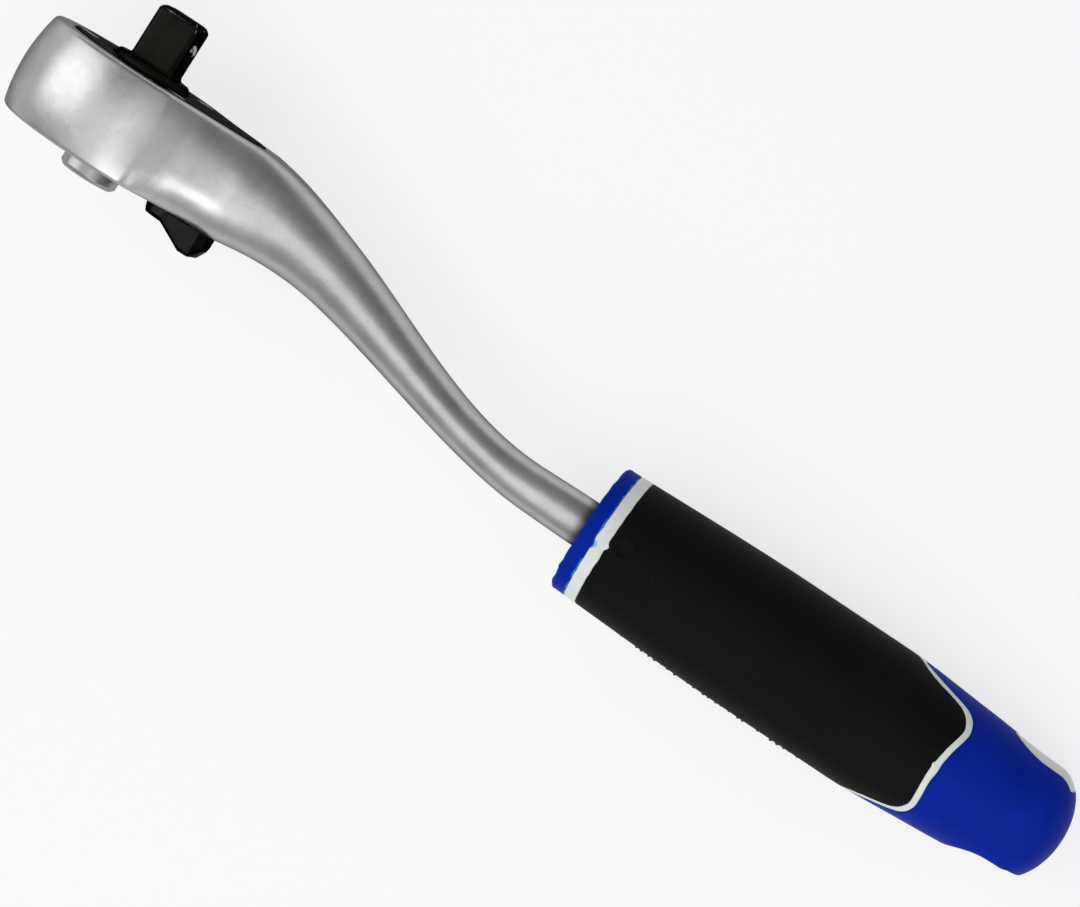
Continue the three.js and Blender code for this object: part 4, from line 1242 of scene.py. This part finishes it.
def window_cutters():
    """Blocks that cut the butt's two windows: a half ellipse and a straight run, from the sill outwards."""
    h = sizes("ratchet_handle")
    straight, behind = h.window_x + h.window_round, HANDLE_END + 4 * PAST
    outside = h.window_sill + h.butt / 2
    sweep = np.linspace(np.pi / 2, 1.5 * np.pi, 49)
    plan_x = np.concatenate([straight + h.window_round * np.cos(sweep), [behind, behind]])
    made = []
    for side, width in ((-1, h.back_width), (1, h.window_width)):
        plan_z = width / 2 * np.concatenate([np.sin(sweep), [-1, 1]])
        level = HANDLE_Y + side * np.array([h.window_sill, outside])[:, None]
        plan = np.stack([plan_x + 0 * level, level + 0 * plan_x, plan_z + 0 * level], -1)
        made.append(grid_object("window", closed_ends(plan)))
    return made


def end_cap(finish):
    """Blue cap: rows along its inside, over its soft lip and along its outside to the domed butt."""
    h = sizes("ratchet_handle")
    turn = turns(HANDLE_COLUMNS)
    start = line_edge(turn) + SEAM_GAP
    butt = HANDLE_END - h.butt_dome
    inside = h.cap_wall - LAYER_GAP
    quarter = np.linspace(0, np.pi / 2, 5)[:, None]
    lip_x, lip_d = start + h.groove * (1 - np.cos(quarter)), h.groove * (1 - np.sin(quarter))
    share = np.linspace(0, 1, 60)[1:, None]
    along = mix(start + h.groove, butt, share)
    tilt = np.linspace(0, np.pi / 2, 20)[1:, None]
    cap = butt + h.butt_dome * np.sin(tilt) + 0 * turn
    under = butt + (h.butt_dome - inside) * np.sin(tilt[::-1]) + 0 * turn
    back = mix(start, butt, np.linspace(1, 0, 24)[:, None])
    x = np.concatenate([under, back, lip_x, along, cap])
    radius = np.concatenate(
        [
            handle_radius(under, inside),
            handle_radius(back, inside),
            handle_radius(lip_x) - lip_d,
            handle_radius(along) + seam_ridge(turn),
            handle_radius(cap) + seam_ridge(turn) * np.cos(tilt),
        ]
    )
    piece = grid_object("end_cap_moulded", round_handle(x, radius, turn))
    combine(piece, window_cutters())
    shade(piece, sharp=40)
    place, around = places_on_handle(piece)
    most = 0.6
    mark(piece, "bleed", most * bump(place, line_edge(around), width=0.25))
    dress(piece, finish, "head", "blue_plastic", "end_cap")


class RATCHET_OT_handle_ends(bpy.types.Operator):
    """Blue collar, with a bored and recessed front, and the blue cap with its two windows"""

    bl_idname = "ratchet.handle_ends"
    bl_label = "Blue collar and cap"

    def execute(self, context):
        finish = blue_plastic()
        front_collar(finish)
        end_cap(finish)
        return {"FINISHED"}


def window_half(x, turn):
    """Half width of the butt's two windows along the handle: half an ellipse, then straight."""
    h = sizes("ratchet_handle")
    ahead = np.clip((h.window_x + h.window_round - x) / h.window_round, 0, 1)
    return np.where(np.sin(turn) > 0, h.window_width, h.back_width) / 2 * np.sqrt(1 - ahead**2)


def window_fill(x, turn):
    """Core's radius under the cap: a wall below the outside, but risen or sunk inside the two windows."""
    h = sizes("ratchet_handle")
    side_slope, sill_gap, sill_slope = 0.35, 0.02, 0.15
    outside, radius = handle_radius(x), handle_radius(x, h.cap_wall)
    inside = smooth_step((window_half(x, turn) - LAYER_GAP - np.abs(radius * np.cos(turn))) / side_slope)
    above = smooth_step((np.abs(outside * np.sin(turn)) - h.window_sill - sill_gap) / sill_slope)
    rise = np.where(np.sin(turn) > 0, h.drive_fill, h.back_fill)
    return radius + (outside - radius) * rise * inside * above


class RATCHET_OT_handle_core(bpy.types.Operator):
    """White core: flush at the ring and the line, sunk under the sleeve and cap, and round at the butt"""

    bl_idname = "ratchet.handle_core"
    bl_label = "White core"

    def execute(self, context):
        h = sizes("ratchet_handle")
        turn = turns(HANDLE_COLUMNS)
        front, ring = ring_edge(turn) + SEAM_GAP, sleeve_start(turn) - SEAM_GAP
        line, cap = sleeve_edge(turn) + SEAM_GAP, line_edge(turn) - SEAM_GAP
        quarter = np.linspace(0, np.pi / 2, 4)[:, None]
        edge_share = 0.6
        soft = edge_share * h.groove

        def band(start, end):
            """Rows of a flush ring, with a quarter circle at each edge."""
            rise = start + soft * (1 - np.cos(quarter))
            fall = (end - soft * (1 - np.cos(quarter)))[::-1]
            depth = soft * (1 - np.sin(quarter))
            x = np.concatenate([rise, fall])
            return x, handle_radius(x) - np.concatenate([depth, depth[::-1]]) + seam_ridge(turn)

        ring_x, ring_r = band(front, ring)
        line_x, line_r = band(line, cap)
        under_x = mix(ring, line, np.linspace(0, 1, 14)[:, None])
        seat_x = mix(cap, HANDLE_END - h.butt_dome + 0 * turn, np.linspace(0, 1, 40)[:, None])
        tilt = np.linspace(0, np.pi / 2, 48)[1:, None]
        butt_x = HANDLE_END - h.butt_dome + (h.butt_dome - h.cap_wall) * np.sin(tilt) + 0 * turn
        x = np.concatenate([0 * turn[None] + front.mean(), ring_x, under_x, line_x, seat_x, butt_x])
        radius = np.concatenate(
            [
                0 * turn[None],
                ring_r,
                handle_radius(under_x) - h.sleeve_wall,
                line_r,
                window_fill(seat_x, turn),
                window_fill(butt_x, turn),
            ]
        )
        piece = grid_object("handle_core_moulded", round_handle(x, radius, turn))
        combine(piece, [shank_cutter(HANDLE_FRONT - ROOM_AHEAD, LAYER_GAP)])
        shade(piece, sharp=40)
        place, around = places_on_handle(piece)
        usual = 0.7
        run = usual + seam_mark(around, height=0.5, place=-3, width=5)
        mark(piece, "bleed", run * bump(place, ring_edge(around), width=0.3))
        dress(piece, white_plastic(), "head", "white_plastic", "handle_core")
        return {"FINISHED"}


def back_flash(x, turn):
    """Ragged flash along the sleeve's back: seeded waves above 0 on a narrow bell with faded ends."""
    h = sizes("ratchet_handle")
    first, last, fade = 90.0, 124.0, 6.0
    fine = ripple(x, height=1.0, seed=21, waves=160, period=90.0)
    coarse = ripple(x, height=0.35, seed=22, waves=60, period=90.0)
    torn = np.clip(fine + coarse, 0, 1)
    where = smooth_step((x - first) / fade) * smooth_step((last - x) / fade)
    return h.flash * torn * where * bump(signed(turn), middle=-90, width=1.6)


def gate_mark(x, turn):
    """Dimple that the mould's gate leaves on the sleeve: a flat-bottomed pit in a low round rim."""
    gate_x, gate_turn = 88.0, 5.4
    pit_depth, pit_radius = 0.28, 0.95
    rim_height, rim_radius, rim_width = 0.07, 1.35, 0.3
    radius = 9.5
    away = np.hypot(x - gate_x, np.radians(signed(turn) - gate_turn) * radius)
    return pit_depth * np.exp(-((away / pit_radius) ** 4)) - rim_height * bump(away, rim_radius, rim_width)


class RATCHET_OT_grip_sleeve(bpy.types.Operator):
    """Black sleeve: a wall round the handle with soft edges, a gate mark, mould seams and ragged flash"""

    bl_idname = "ratchet.grip_sleeve"
    bl_label = "Grip sleeve"

    def execute(self, context):
        h = sizes("ratchet_handle")
        turn = turns(HANDLE_COLUMNS)
        start, end = sleeve_start(turn), sleeve_edge(turn)

        def outside(x):
            """Handle's radius with what the mould leaves on it."""
            return handle_radius(x) + seam_ridge(turn) + back_flash(x, turn) - gate_mark(x, turn)

        x, radius = edge_rows(start, end, h.sleeve_wall - LAYER_GAP, outside, h.groove, steps=190)
        piece = grid_object("grip_sleeve_moulded", round_handle(x, radius, turn), wrap_rows=True)
        shade(piece, sharp=50)
        dress(piece, black_rubber(), "head", "black_rubber", "grip_sleeve")
        return {"FINISHED"}


# Finishes


def put(tree, kind, inputs=None, **settings):
    """Adds a node, sets its fields and fills or links its sockets."""
    made = tree.nodes.new(kind)
    for key, value in settings.items():
        setattr(made, key, value)
    for key, value in (inputs or {}).items():
        if isinstance(value, bpy.types.NodeSocket):
            tree.links.new(value, made.inputs[key])
        else:
            made.inputs[key].default_value = value
    return made


def calculate(tree, operation, a, b, **settings):
    """Adds a math node on two values, each a number or a socket, and returns its output."""
    return put(tree, "ShaderNodeMath", {0: a, 1: b}, operation=operation, **settings).outputs[0]


def new_group(name, inputs, outputs):
    """Empty node group with float sockets."""
    tree = bpy.data.node_groups.new(name, "ShaderNodeTree")
    for key, value in inputs.items():
        tree.interface.new_socket(key, in_out="INPUT", socket_type="NodeSocketFloat").default_value = value
    for key in outputs:
        tree.interface.new_socket(key, in_out="OUTPUT", socket_type="NodeSocketFloat")
    return tree, tree.nodes.new("NodeGroupInput"), tree.nodes.new("NodeGroupOutput")


def grain_group():
    """Noise on the piece's own coordinates, between 0 and 1."""
    if "surface_grain" in bpy.data.node_groups:
        return bpy.data.node_groups["surface_grain"]
    tree, given, out = new_group("surface_grain", {"Scale": 500, "Detail": 3, "Contrast": 1}, ["Grain"])
    place = put(tree, "ShaderNodeTexCoord").outputs["Object"]
    scale, detail, contrast = (given.outputs[key] for key in ("Scale", "Detail", "Contrast"))
    noise = put(
        tree,
        "ShaderNodeTexNoise",
        {"Vector": place, "Scale": scale, "Detail": detail, "Roughness": 0.6},
    )
    centred = calculate(tree, "SUBTRACT", noise.outputs["Fac"], 0.5)
    wider = calculate(tree, "MULTIPLY", centred, contrast)
    tree.links.new(calculate(tree, "ADD", wider, 0.5, use_clamp=True), out.inputs["Grain"])
    return tree


def specks_group():
    """Sparse round specks: cells whose random draw is below a share, drawn near the cell's middle."""
    if "specks" in bpy.data.node_groups:
        return bpy.data.node_groups["specks"]
    tree, given, out = new_group("specks", {"Scale": 900, "Size": 0.1, "Share": 0.2}, ["Specks"])
    place = put(tree, "ShaderNodeTexCoord").outputs["Object"]
    cells = put(tree, "ShaderNodeTexVoronoi", {"Vector": place, "Scale": given.outputs["Scale"]})
    draw = put(tree, "ShaderNodeSeparateColor", {"Color": cells.outputs["Color"]})
    chosen = calculate(tree, "LESS_THAN", draw.outputs[0], given.outputs["Share"])
    near = put(
        tree,
        "ShaderNodeMapRange",
        {"Value": cells.outputs["Distance"], "From Min": given.outputs["Size"], "From Max": 0.0},
        interpolation_type="SMOOTHSTEP",
    )
    tree.links.new(calculate(tree, "MULTIPLY", chosen, near.outputs[0]), out.inputs["Specks"])
    return tree


def wear_group():
    """Broken mask along marked edges: the mark plus noise, pushed through a soft threshold."""
    if "edge_wear" in bpy.data.node_groups:
        return bpy.data.node_groups["edge_wear"]
    softness = 0.25
    inputs = {"Edge": 0, "Scale": 900, "Break": 0.6, "Level": 0.75}
    tree, given, out = new_group("edge_wear", inputs, ["Wear"])
    edge, scale, ragged, level = (given.outputs[key] for key in inputs)
    place = put(tree, "ShaderNodeTexCoord").outputs["Object"]
    noise = put(tree, "ShaderNodeTexNoise", {"Vector": place, "Scale": scale, "Detail": 4.0})
    centred = calculate(tree, "SUBTRACT", noise.outputs["Fac"], 0.5)
    total = calculate(tree, "ADD", calculate(tree, "MULTIPLY", centred, ragged), edge)
    high = calculate(tree, "ADD", level, softness)
    soft = put(
        tree,
        "ShaderNodeMapRange",
        {"Value": total, "From Min": level, "From Max": high},
        interpolation_type="SMOOTHSTEP",
    )
    tree.links.new(soft.outputs[0], out.inputs["Wear"])
    return tree


class Finish:
    """One material with its shader, and short ways to add what varies over the surface."""

    def __init__(self, name, **fixed):
        self.material = bpy.data.materials.new(name)
        self.material.use_nodes = True
        self.tree = self.material.node_tree
        self.shader = self.tree.nodes["Principled BSDF"]
        for key, value in fixed.items():
            self.shader.inputs[key.replace("_", " ")].default_value = value

    def group(self, tree, **inputs):
        """Places a shared group and returns its output."""
        return put(self.tree, "ShaderNodeGroup", inputs, node_tree=tree).outputs[0]

    def grain(self, size, detail=3.0, contrast=1.0):
        """Noise whose features are about a size in millimetres."""
        return self.group(grain_group(), Scale=1 / (size * MM), Detail=detail, Contrast=contrast)

    def specks(self, apart, size, share):
        """Sparse specks, with the cells' size and the specks' size in millimetres."""
        return self.group(specks_group(), Scale=1 / (apart * MM), Size=size / apart, Share=share)

    def stored(self, name):
        """Number that the piece stores at each point."""
        return put(self.tree, "ShaderNodeAttribute", attribute_name=name).outputs["Fac"]

    def wear(self, name, size, broken, level):
        """Broken wear along the edges that a stored number marks."""
        edge = self.stored(name)
        return self.group(wear_group(), Edge=edge, Scale=1 / (size * MM), Break=broken, Level=level)

    def between(self, low, high, share):
        """Number that goes from low to high with a share."""
        ends = {"Value": share, "To Min": low, "To Max": high}
        return put(self.tree, "ShaderNodeMapRange", ends).outputs[0]

    def blend(self, a, b, share):
        """Colour that goes from a to b with a share."""
        a, b = (end if isinstance(end, bpy.types.NodeSocket) else (*end, 1) for end in (a, b))
        return put(self.tree, "ShaderNodeMix", {0: share, 6: a, 7: b}, data_type="RGBA").outputs[2]

    def sum(self, a, b, share=1.0):
        """a plus b times a number."""
        return put(self.tree, "ShaderNodeMath", {0: b, 1: share, 2: a}, operation="MULTIPLY_ADD").outputs[0]

    def larger(self, a, b):
        """Larger of two numbers."""
        return calculate(self.tree, "MAXIMUM", a, b)

    def feed(self, socket, value):
        """Links a value to one of the shader's sockets."""
        self.tree.links.new(value, self.shader.inputs[socket])

    def relief(self, height, depth, strength):
        """Bump from a height of 0 to 1, with its depth in millimetres."""
        inputs = {"Height": height, "Strength": strength, "Distance": depth * MM}
        self.feed("Normal", put(self.tree, "ShaderNodeBump", inputs).outputs[0])


def scaled(value, factor):
    """Colour made lighter or darker."""
    return tuple(min(c * factor, 1.0) for c in value)


def colours():
    """Finish colours as plain tuples."""
    group = bpy.context.scene.ratchet_finish
    return SimpleNamespace(**{key: tuple(getattr(group, key)) for key in type(group).__annotations__})


def satin_chrome():
    """Satin plating: cloudy sheen, fine blasted grain, a few pits, and painted shade where the shank enters
    the handle.
    """
    c = colours()
    made = Finish("satin_plating", Metallic=1.0, Specular_Tint=(0.15, 0.15, 0.15, 1))
    cloud = made.grain(size=6.0, detail=4.0, contrast=1.8)
    patch = made.grain(size=1.6, detail=3.0, contrast=1.5)
    fine = made.grain(size=0.22, detail=2.0, contrast=1.6)
    pits = made.larger(
        made.specks(apart=1.7, size=0.2, share=0.4),
        made.specks(apart=0.9, size=0.08, share=0.3),
    )
    # Painted shade: the colour goes nearly black on the shank where it enters the handle, in place of the
    # collar's shadow
    painted_shade = made.stored("joint")
    smudge = made.grain(size=1.4, detail=5.0, contrast=2.6)
    base = made.blend(scaled(c.chrome, 0.86), scaled(c.chrome, 1.12), cloud)
    base = made.blend(base, scaled(c.chrome, 0.8), made.between(0.0, 0.5, patch))
    base = made.blend(base, scaled(c.chrome, 0.72), made.between(-0.7, 0.35, smudge))
    base = made.blend(base, scaled(c.chrome, 0.3), made.between(0.0, 0.6, pits))
    made.feed("Base Color", made.blend(base, scaled(c.chrome, 0.08), made.between(0.0, 0.92, painted_shade)))
    made.feed("Roughness", made.sum(made.between(0.28, 0.38, cloud), patch, 0.06))
    height = made.sum(made.sum(made.sum(patch, cloud, 2.0), fine, 0.2), pits, -0.6)
    made.relief(height, depth=0.022, strength=0.6)
    return made.material


def black_oxide():
    """Blackened steel: dark, slightly mottled, worn to bare metal along its edges."""
    if "worn_oxide" in bpy.data.materials:
        return bpy.data.materials["worn_oxide"]
    c = colours()
    made = Finish("worn_oxide", Metallic=1.0, Specular_Tint=(0, 0, 0, 1))
    cloud = made.grain(size=2.5, detail=4.0, contrast=1.6)
    fine = made.grain(size=0.18, detail=2.0, contrast=1.5)
    wear = made.wear("edge", size=0.9, broken=0.9, level=0.7)
    dust = made.specks(apart=0.8, size=0.06, share=0.2)
    base = made.blend(scaled(c.oxide, 0.75), scaled(c.oxide, 1.5), cloud)
    base = made.blend(base, scaled(c.worn, 0.25), made.between(0.0, 0.5, dust))
    made.feed("Base Color", made.blend(base, c.worn, wear))
    made.feed("Roughness", made.sum(made.between(0.42, 0.3, wear), fine, 0.12))
    made.relief(made.sum(fine, cloud, 0.6), depth=0.01, strength=0.45)
    return made.material


def black_casting():
    """Black coated casting: semi-gloss with a fine cast skin."""
    c = colours()
    made = Finish("coated_casting", Metallic=1.0, Specular_Tint=(0, 0, 0, 1))
    cloud = made.grain(size=1.6, detail=3.0, contrast=1.5)
    fine = made.grain(size=0.25, detail=2.0, contrast=1.4)
    dust = made.specks(apart=0.7, size=0.06, share=0.15)
    base = made.blend(scaled(c.casting, 0.8), scaled(c.casting, 1.6), cloud)
    made.feed("Base Color", made.blend(base, scaled(c.worn, 0.4), made.between(0.0, 0.4, dust)))
    made.feed("Roughness", made.between(0.22, 0.32, cloud))
    made.relief(made.sum(fine, cloud, 0.8), depth=0.02, strength=0.5)
    return made.material


def bright_steel(name, dull, rings=False):
    """Bright steel with a given roughness, and fine turned rings where asked for."""
    c = colours()
    made = Finish(name, Metallic=1.0, Specular_Tint=(0.6, 0.6, 0.6, 1))
    cloud = made.grain(size=1.2, detail=3.0, contrast=1.5)
    dust = made.specks(apart=0.6, size=0.06, share=0.2)
    base = made.blend(scaled(c.bright, 0.9), scaled(c.bright, 1.08), cloud)
    made.feed("Base Color", made.blend(base, scaled(c.bright, 0.45), made.between(0.0, 0.5, dust)))
    made.feed("Roughness", made.between(dull, 1.4 * dull, cloud))
    if rings:
        place = put(made.tree, "ShaderNodeTexCoord").outputs["Object"]
        lines = put(
            made.tree,
            "ShaderNodeTexWave",
            {"Vector": place, "Scale": 2600.0, "Distortion": 1.5, "Detail": 2.0, "Detail Scale": 1.0},
            wave_type="RINGS",
            rings_direction="Y",
        )
        made.relief(lines.outputs["Fac"], depth=0.004, strength=0.35)
    else:
        made.relief(cloud, depth=0.002, strength=0.3)
    return made.material


def hard_steel():
    """Ground hard steel for screws, pawl, washer and pins."""
    if "ground_steel" in bpy.data.materials:
        return bpy.data.materials["ground_steel"]
    c = colours()
    made = Finish("ground_steel", Metallic=1.0)
    cloud = made.grain(size=1.5, detail=3.0, contrast=1.5)
    fine = made.grain(size=0.12, detail=2.0, contrast=1.5)
    made.feed("Base Color", made.blend(scaled(c.hard, 0.8), scaled(c.hard, 1.25), cloud))
    made.feed("Roughness", made.between(0.28, 0.42, fine))
    made.relief(made.sum(fine, cloud, 0.5), depth=0.006, strength=0.4)
    return made.material


def spring_steel():
    """Drawn spring steel for springs and rings."""
    if "drawn_steel" in bpy.data.materials:
        return bpy.data.materials["drawn_steel"]
    c = colours()
    made = Finish("drawn_steel", Metallic=1.0)
    cloud = made.grain(size=0.8, detail=3.0, contrast=1.5)
    made.feed("Base Color", made.blend(scaled(c.spring, 0.85), scaled(c.spring, 1.2), cloud))
    made.feed("Roughness", made.between(0.24, 0.36, cloud))
    made.relief(cloud, depth=0.004, strength=0.3)
    return made.material


def blue_plastic():
    """Moulded blue plastic: slightly mottled, with a fine mould texture, and thin at the colour seams."""
    c = colours()
    made = Finish("moulded_blue", Specular_IOR_Level=0.035)
    cloud = made.grain(size=4.0, detail=3.0, contrast=1.5)
    fine = made.grain(size=0.3, detail=2.0, contrast=1.4)
    thin = made.wear("bleed", size=1.4, broken=0.9, level=0.78)
    scuffs = made.specks(apart=1.3, size=0.12, share=0.12)
    base = made.blend(scaled(c.blue, 0.82), scaled(c.blue, 1.16), cloud)
    base = made.blend(base, scaled(c.bleed, 0.6), made.between(0.0, 0.12, scuffs))
    made.feed("Base Color", made.blend(base, c.bleed, made.between(0.0, 0.8, thin)))
    made.feed("Roughness", made.sum(made.between(0.44, 0.54, cloud), fine, 0.06))
    made.relief(made.sum(fine, cloud, 0.8), depth=0.012, strength=0.4)
    return made.material


def white_plastic():
    """Moulded white plastic: a little uneven, with dirt in the grain and blue run over its front edge."""
    c = colours()
    made = Finish("moulded_white", Specular_IOR_Level=0.35)
    cloud = made.grain(size=2.4, detail=4.0, contrast=1.6)
    fine = made.grain(size=0.3, detail=2.0, contrast=1.4)
    run = made.wear("bleed", size=0.9, broken=1.1, level=0.7)
    dirt = made.specks(apart=1.1, size=0.09, share=0.18)
    base = made.blend(scaled(c.white, 0.9), scaled(c.white, 1.03), cloud)
    base = made.blend(base, scaled(c.white, 0.5), made.between(0.0, 0.35, dirt))
    made.feed("Base Color", made.blend(base, c.bleed, made.between(0.0, 0.75, run)))
    made.feed("Roughness", made.between(0.4, 0.52, cloud))
    made.relief(made.sum(fine, cloud, 0.8), depth=0.014, strength=0.4)
    return made.material


def black_rubber():
    """Soft black sleeve: dead matte with a faint sheen, fine mould grain and a little dust."""
    c = colours()
    made = Finish("soft_rubber", Specular_IOR_Level=0.06)
    cloud = made.grain(size=9.0, detail=4.0, contrast=1.6)
    fine = made.grain(size=0.28, detail=2.0, contrast=1.5)
    dust = made.larger(
        made.specks(apart=3.2, size=0.1, share=0.16),
        made.specks(apart=1.1, size=0.05, share=0.08),
    )
    base = made.blend(scaled(c.rubber, 0.8), scaled(c.rubber, 1.3), cloud)
    made.feed("Base Color", made.blend(base, c.dust, made.between(0.0, 0.35, dust)))
    made.feed("Roughness", made.sum(made.between(0.56, 0.66, cloud), fine, 0.08))
    made.relief(made.sum(fine, cloud, 0.6), depth=0.02, strength=0.45)
    return made.material


class RATCHET_OT_inner_finishes(bpy.types.Operator):
    """Finishes for the solids that stay in the head: washer, pawl, pin, plunger, spring and rings"""

    bl_idname = "ratchet.inner_finishes"
    bl_label = "Inner finishes"

    def execute(self, context):
        hard, spring = hard_steel(), spring_steel()
        kept = {
            hard: ("thrust_washer", "pawl", "pawl_pin", "lever_plunger"),
            spring: ("button_ring", "lever_ring", "plunger_spring"),
        }
        for finish, nodes in kept.items():
            for node in nodes:
                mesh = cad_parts[node].data
                mesh.materials.clear()
                mesh.materials.append(finish)
        return {"FINISHED"}


# Stage


def floor_finish(stage):
    """White floor: a plain matte sheet, lifted towards white for the camera and for what mirrors it."""
    made = bpy.data.materials.new("studio_floor")
    made.use_nodes = True
    tree = made.node_tree
    tree.nodes.clear()
    sheet = put(tree, "ShaderNodeBsdfDiffuse", {"Color": (*stage.floor, 1)})
    white = put(tree, "ShaderNodeEmission", {"Color": (1, 1, 1, 1), "Strength": 1.0})
    path = put(tree, "ShaderNodeLightPath")
    seen = calculate(tree, "MAXIMUM", path.outputs["Is Camera Ray"], path.outputs["Is Glossy Ray"])
    seen = calculate(tree, "MAXIMUM", seen, path.outputs["Is Transmission Ray"])
    share = calculate(tree, "MULTIPLY", seen, stage.floor_lift)
    both = put(tree, "ShaderNodeMixShader", {0: share, 1: sheet.outputs[0], 2: white.outputs[0]})
    put(tree, "ShaderNodeOutputMaterial", {"Surface": both.outputs[0]})
    return made


# Soft lights: name, point in millimetres that each is aimed at, direction to it, its distance, width
# and height in metres, its glow, and its spin about its own axis in degrees
SOFTBOXES = (
    ("nose_light", (-5, -15, 14), (-0.79, 0.03, 0.61), 0.60, 0.38, 0.62, 2.1, 0),
    ("neck_light", (17, -18, 8), (0.455, -0.640, 0.620), 0.60, 0.38, 0.22, 3.2, -46),
    ("throat_light", (12, -16, 10), (0.56, -0.02, 0.83), 0.60, 0.46, 0.44, 0.72, 0),
    ("arm_light", (45, -21, 4), (0.00, -0.22, 0.97), 0.65, 0.60, 0.56, 0.8, 0),
)


# Direction of the room's bright side, and how far along it the fade reaches each way
BRIGHT_SIDE = (-0.35, -0.75, 0.35)
FADE_REACH = 0.9


def softbox(name, aim, toward, distance, width, height, glow, spin):
    """Rectangular soft light, aimed at a point, whose glow is its brightness as seen in a mirror."""
    lamp = bpy.data.lights.new(name, "AREA")
    lamp.shape = "RECTANGLE"
    lamp.size, lamp.size_y = width, height
    lamp.energy = glow * np.pi * width * height
    made = bpy.data.objects.new(name, lamp)
    bpy.context.scene.collection.objects.link(made)
    made.location = Vector(aim) * MM + distance * Vector(toward).normalized()
    facing = (-Vector(toward)).to_track_quat("-Z", "Y")
    made.rotation_euler = (facing @ Quaternion((0, 0, 1), np.radians(spin))).to_euler()


def room_light(stage):
    """Even room light that fades from the bright side, at nose, back and ceiling, to the dim side."""
    made = bpy.data.worlds.new("studio")
    made.use_nodes = True
    tree = made.node_tree
    back = tree.nodes["Background"]
    back.inputs["Color"].default_value = (1, 1, 1, 1)
    aim = put(tree, "ShaderNodeTexCoord").outputs["Generated"]
    side = put(tree, "ShaderNodeVectorMath", {0: aim, 1: BRIGHT_SIDE}, operation="DOT_PRODUCT")
    level = put(
        tree,
        "ShaderNodeMapRange",
        {
            "Value": side.outputs["Value"],
            "From Min": -FADE_REACH,
            "From Max": FADE_REACH,
            "To Min": stage.room_dim,
            "To Max": stage.room_bright,
        },
    )
    tree.links.new(level.outputs[0], back.inputs["Strength"])
    return made


def studio_floor(stage):
    """Wide floor that the tool lies on, sloped so that it touches the head and the handle's belly."""
    slope = (stage.rest_handle - stage.rest_head) / sizes("ratchet_handle").belly_x
    reach = 4000.0
    x = np.array([-reach, reach])[:, None] + np.zeros(2)
    y = np.array([-reach, reach]) + np.zeros((2, 1))
    floor = grid_object("floor", np.stack([x, y, stage.rest_head + slope * x], -1), wrap_columns=False)
    floor.data.materials.append(floor_finish(stage))


def photo_camera(stage):
    """Camera that looks at the aimed point along the two tilts, rolled so that the handle slopes."""
    back_x, back_y = np.sin(stage.butt_tilt), np.sin(stage.drive_tilt)
    toward = Vector((back_x, back_y, np.sqrt(1 - back_x**2 - back_y**2)))
    along = Vector((1, 0, 0)) - toward * toward.x
    along.normalize()
    across = toward.cross(along)
    right = along * np.cos(stage.roll) + across * np.sin(stage.roll)
    up = across * np.cos(stage.roll) - along * np.sin(stage.roll)
    lens = bpy.data.cameras.new("photo_camera")
    lens.lens = stage.lens
    lens.sensor_width = 36.0
    lens.clip_start, lens.clip_end = 0.01, 50.0
    camera = bpy.data.objects.new("photo_camera", lens)
    bpy.context.scene.collection.objects.link(camera)
    aim = Vector((stage.aim_x, stage.aim_y, 0)) * MM
    turn = Matrix((right, up, toward)).transposed().to_4x4()
    camera.matrix_world = Matrix.Translation(aim + toward * stage.distance * MM) @ turn
    return camera


class RATCHET_OT_stage(bpy.types.Operator):
    """Floor, soft lights, room light and the camera at the photograph's angle"""

    bl_idname = "ratchet.stage"
    bl_label = "Stage"

    def execute(self, context):
        scene, stage = context.scene, sizes("ratchet_stage")
        scene.view_settings.view_transform = "Standard"
        studio_floor(stage)
        scene.world = room_light(stage)
        for light in SOFTBOXES:
            softbox(*light)
        scene.camera = photo_camera(stage)
        return {"FINISHED"}


OPERATORS = (
    RATCHET_OT_forged_body,
    RATCHET_OT_drive,
    RATCHET_OT_cover_plate,
    RATCHET_OT_cover_screws,
    RATCHET_OT_lever,
    RATCHET_OT_button_and_ball,
    RATCHET_OT_button_spring,
    RATCHET_OT_handle_ends,
    RATCHET_OT_handle_core,
    RATCHET_OT_grip_sleeve,
    RATCHET_OT_inner_finishes,
    RATCHET_OT_stage,
)


class RATCHET_PT_pieces(bpy.types.Panel):
    """Lists the ratchet's pieces and their sizes"""

    bl_label = "Offset ratchet"
    bl_idname = "RATCHET_PT_pieces"
    bl_space_type = "VIEW_3D"
    bl_region_type = "UI"
    bl_category = "Ratchet"

    def draw(self, context):
        for operator in OPERATORS:
            self.layout.operator(operator.bl_idname)
        for name, group in GROUPS.items():
            box = self.layout.box()
            box.label(text=group.__doc__)
            for key in group.__annotations__:
                box.prop(getattr(context.scene, name), key)


def register():
    """Registers the groups, the operators and the panel."""
    for name, group in GROUPS.items():
        bpy.utils.register_class(group)
        setattr(bpy.types.Scene, name, PointerProperty(type=group))
    for kind in (*OPERATORS, RATCHET_PT_pieces):
        bpy.utils.register_class(kind)


def unregister():
    """Undoes what register did."""
    for kind in (RATCHET_PT_pieces, *reversed(OPERATORS)):
        bpy.utils.unregister_class(kind)
    for name, group in reversed(GROUPS.items()):
        delattr(bpy.types.Scene, name)
        bpy.utils.unregister_class(group)


def main():
    """Builds every piece and the stage."""
    register()
    for operator in OPERATORS:
        group, name = operator.bl_idname.split(".")
        getattr(getattr(bpy.ops, group), name)()


if __name__ == "__main__":
    main()
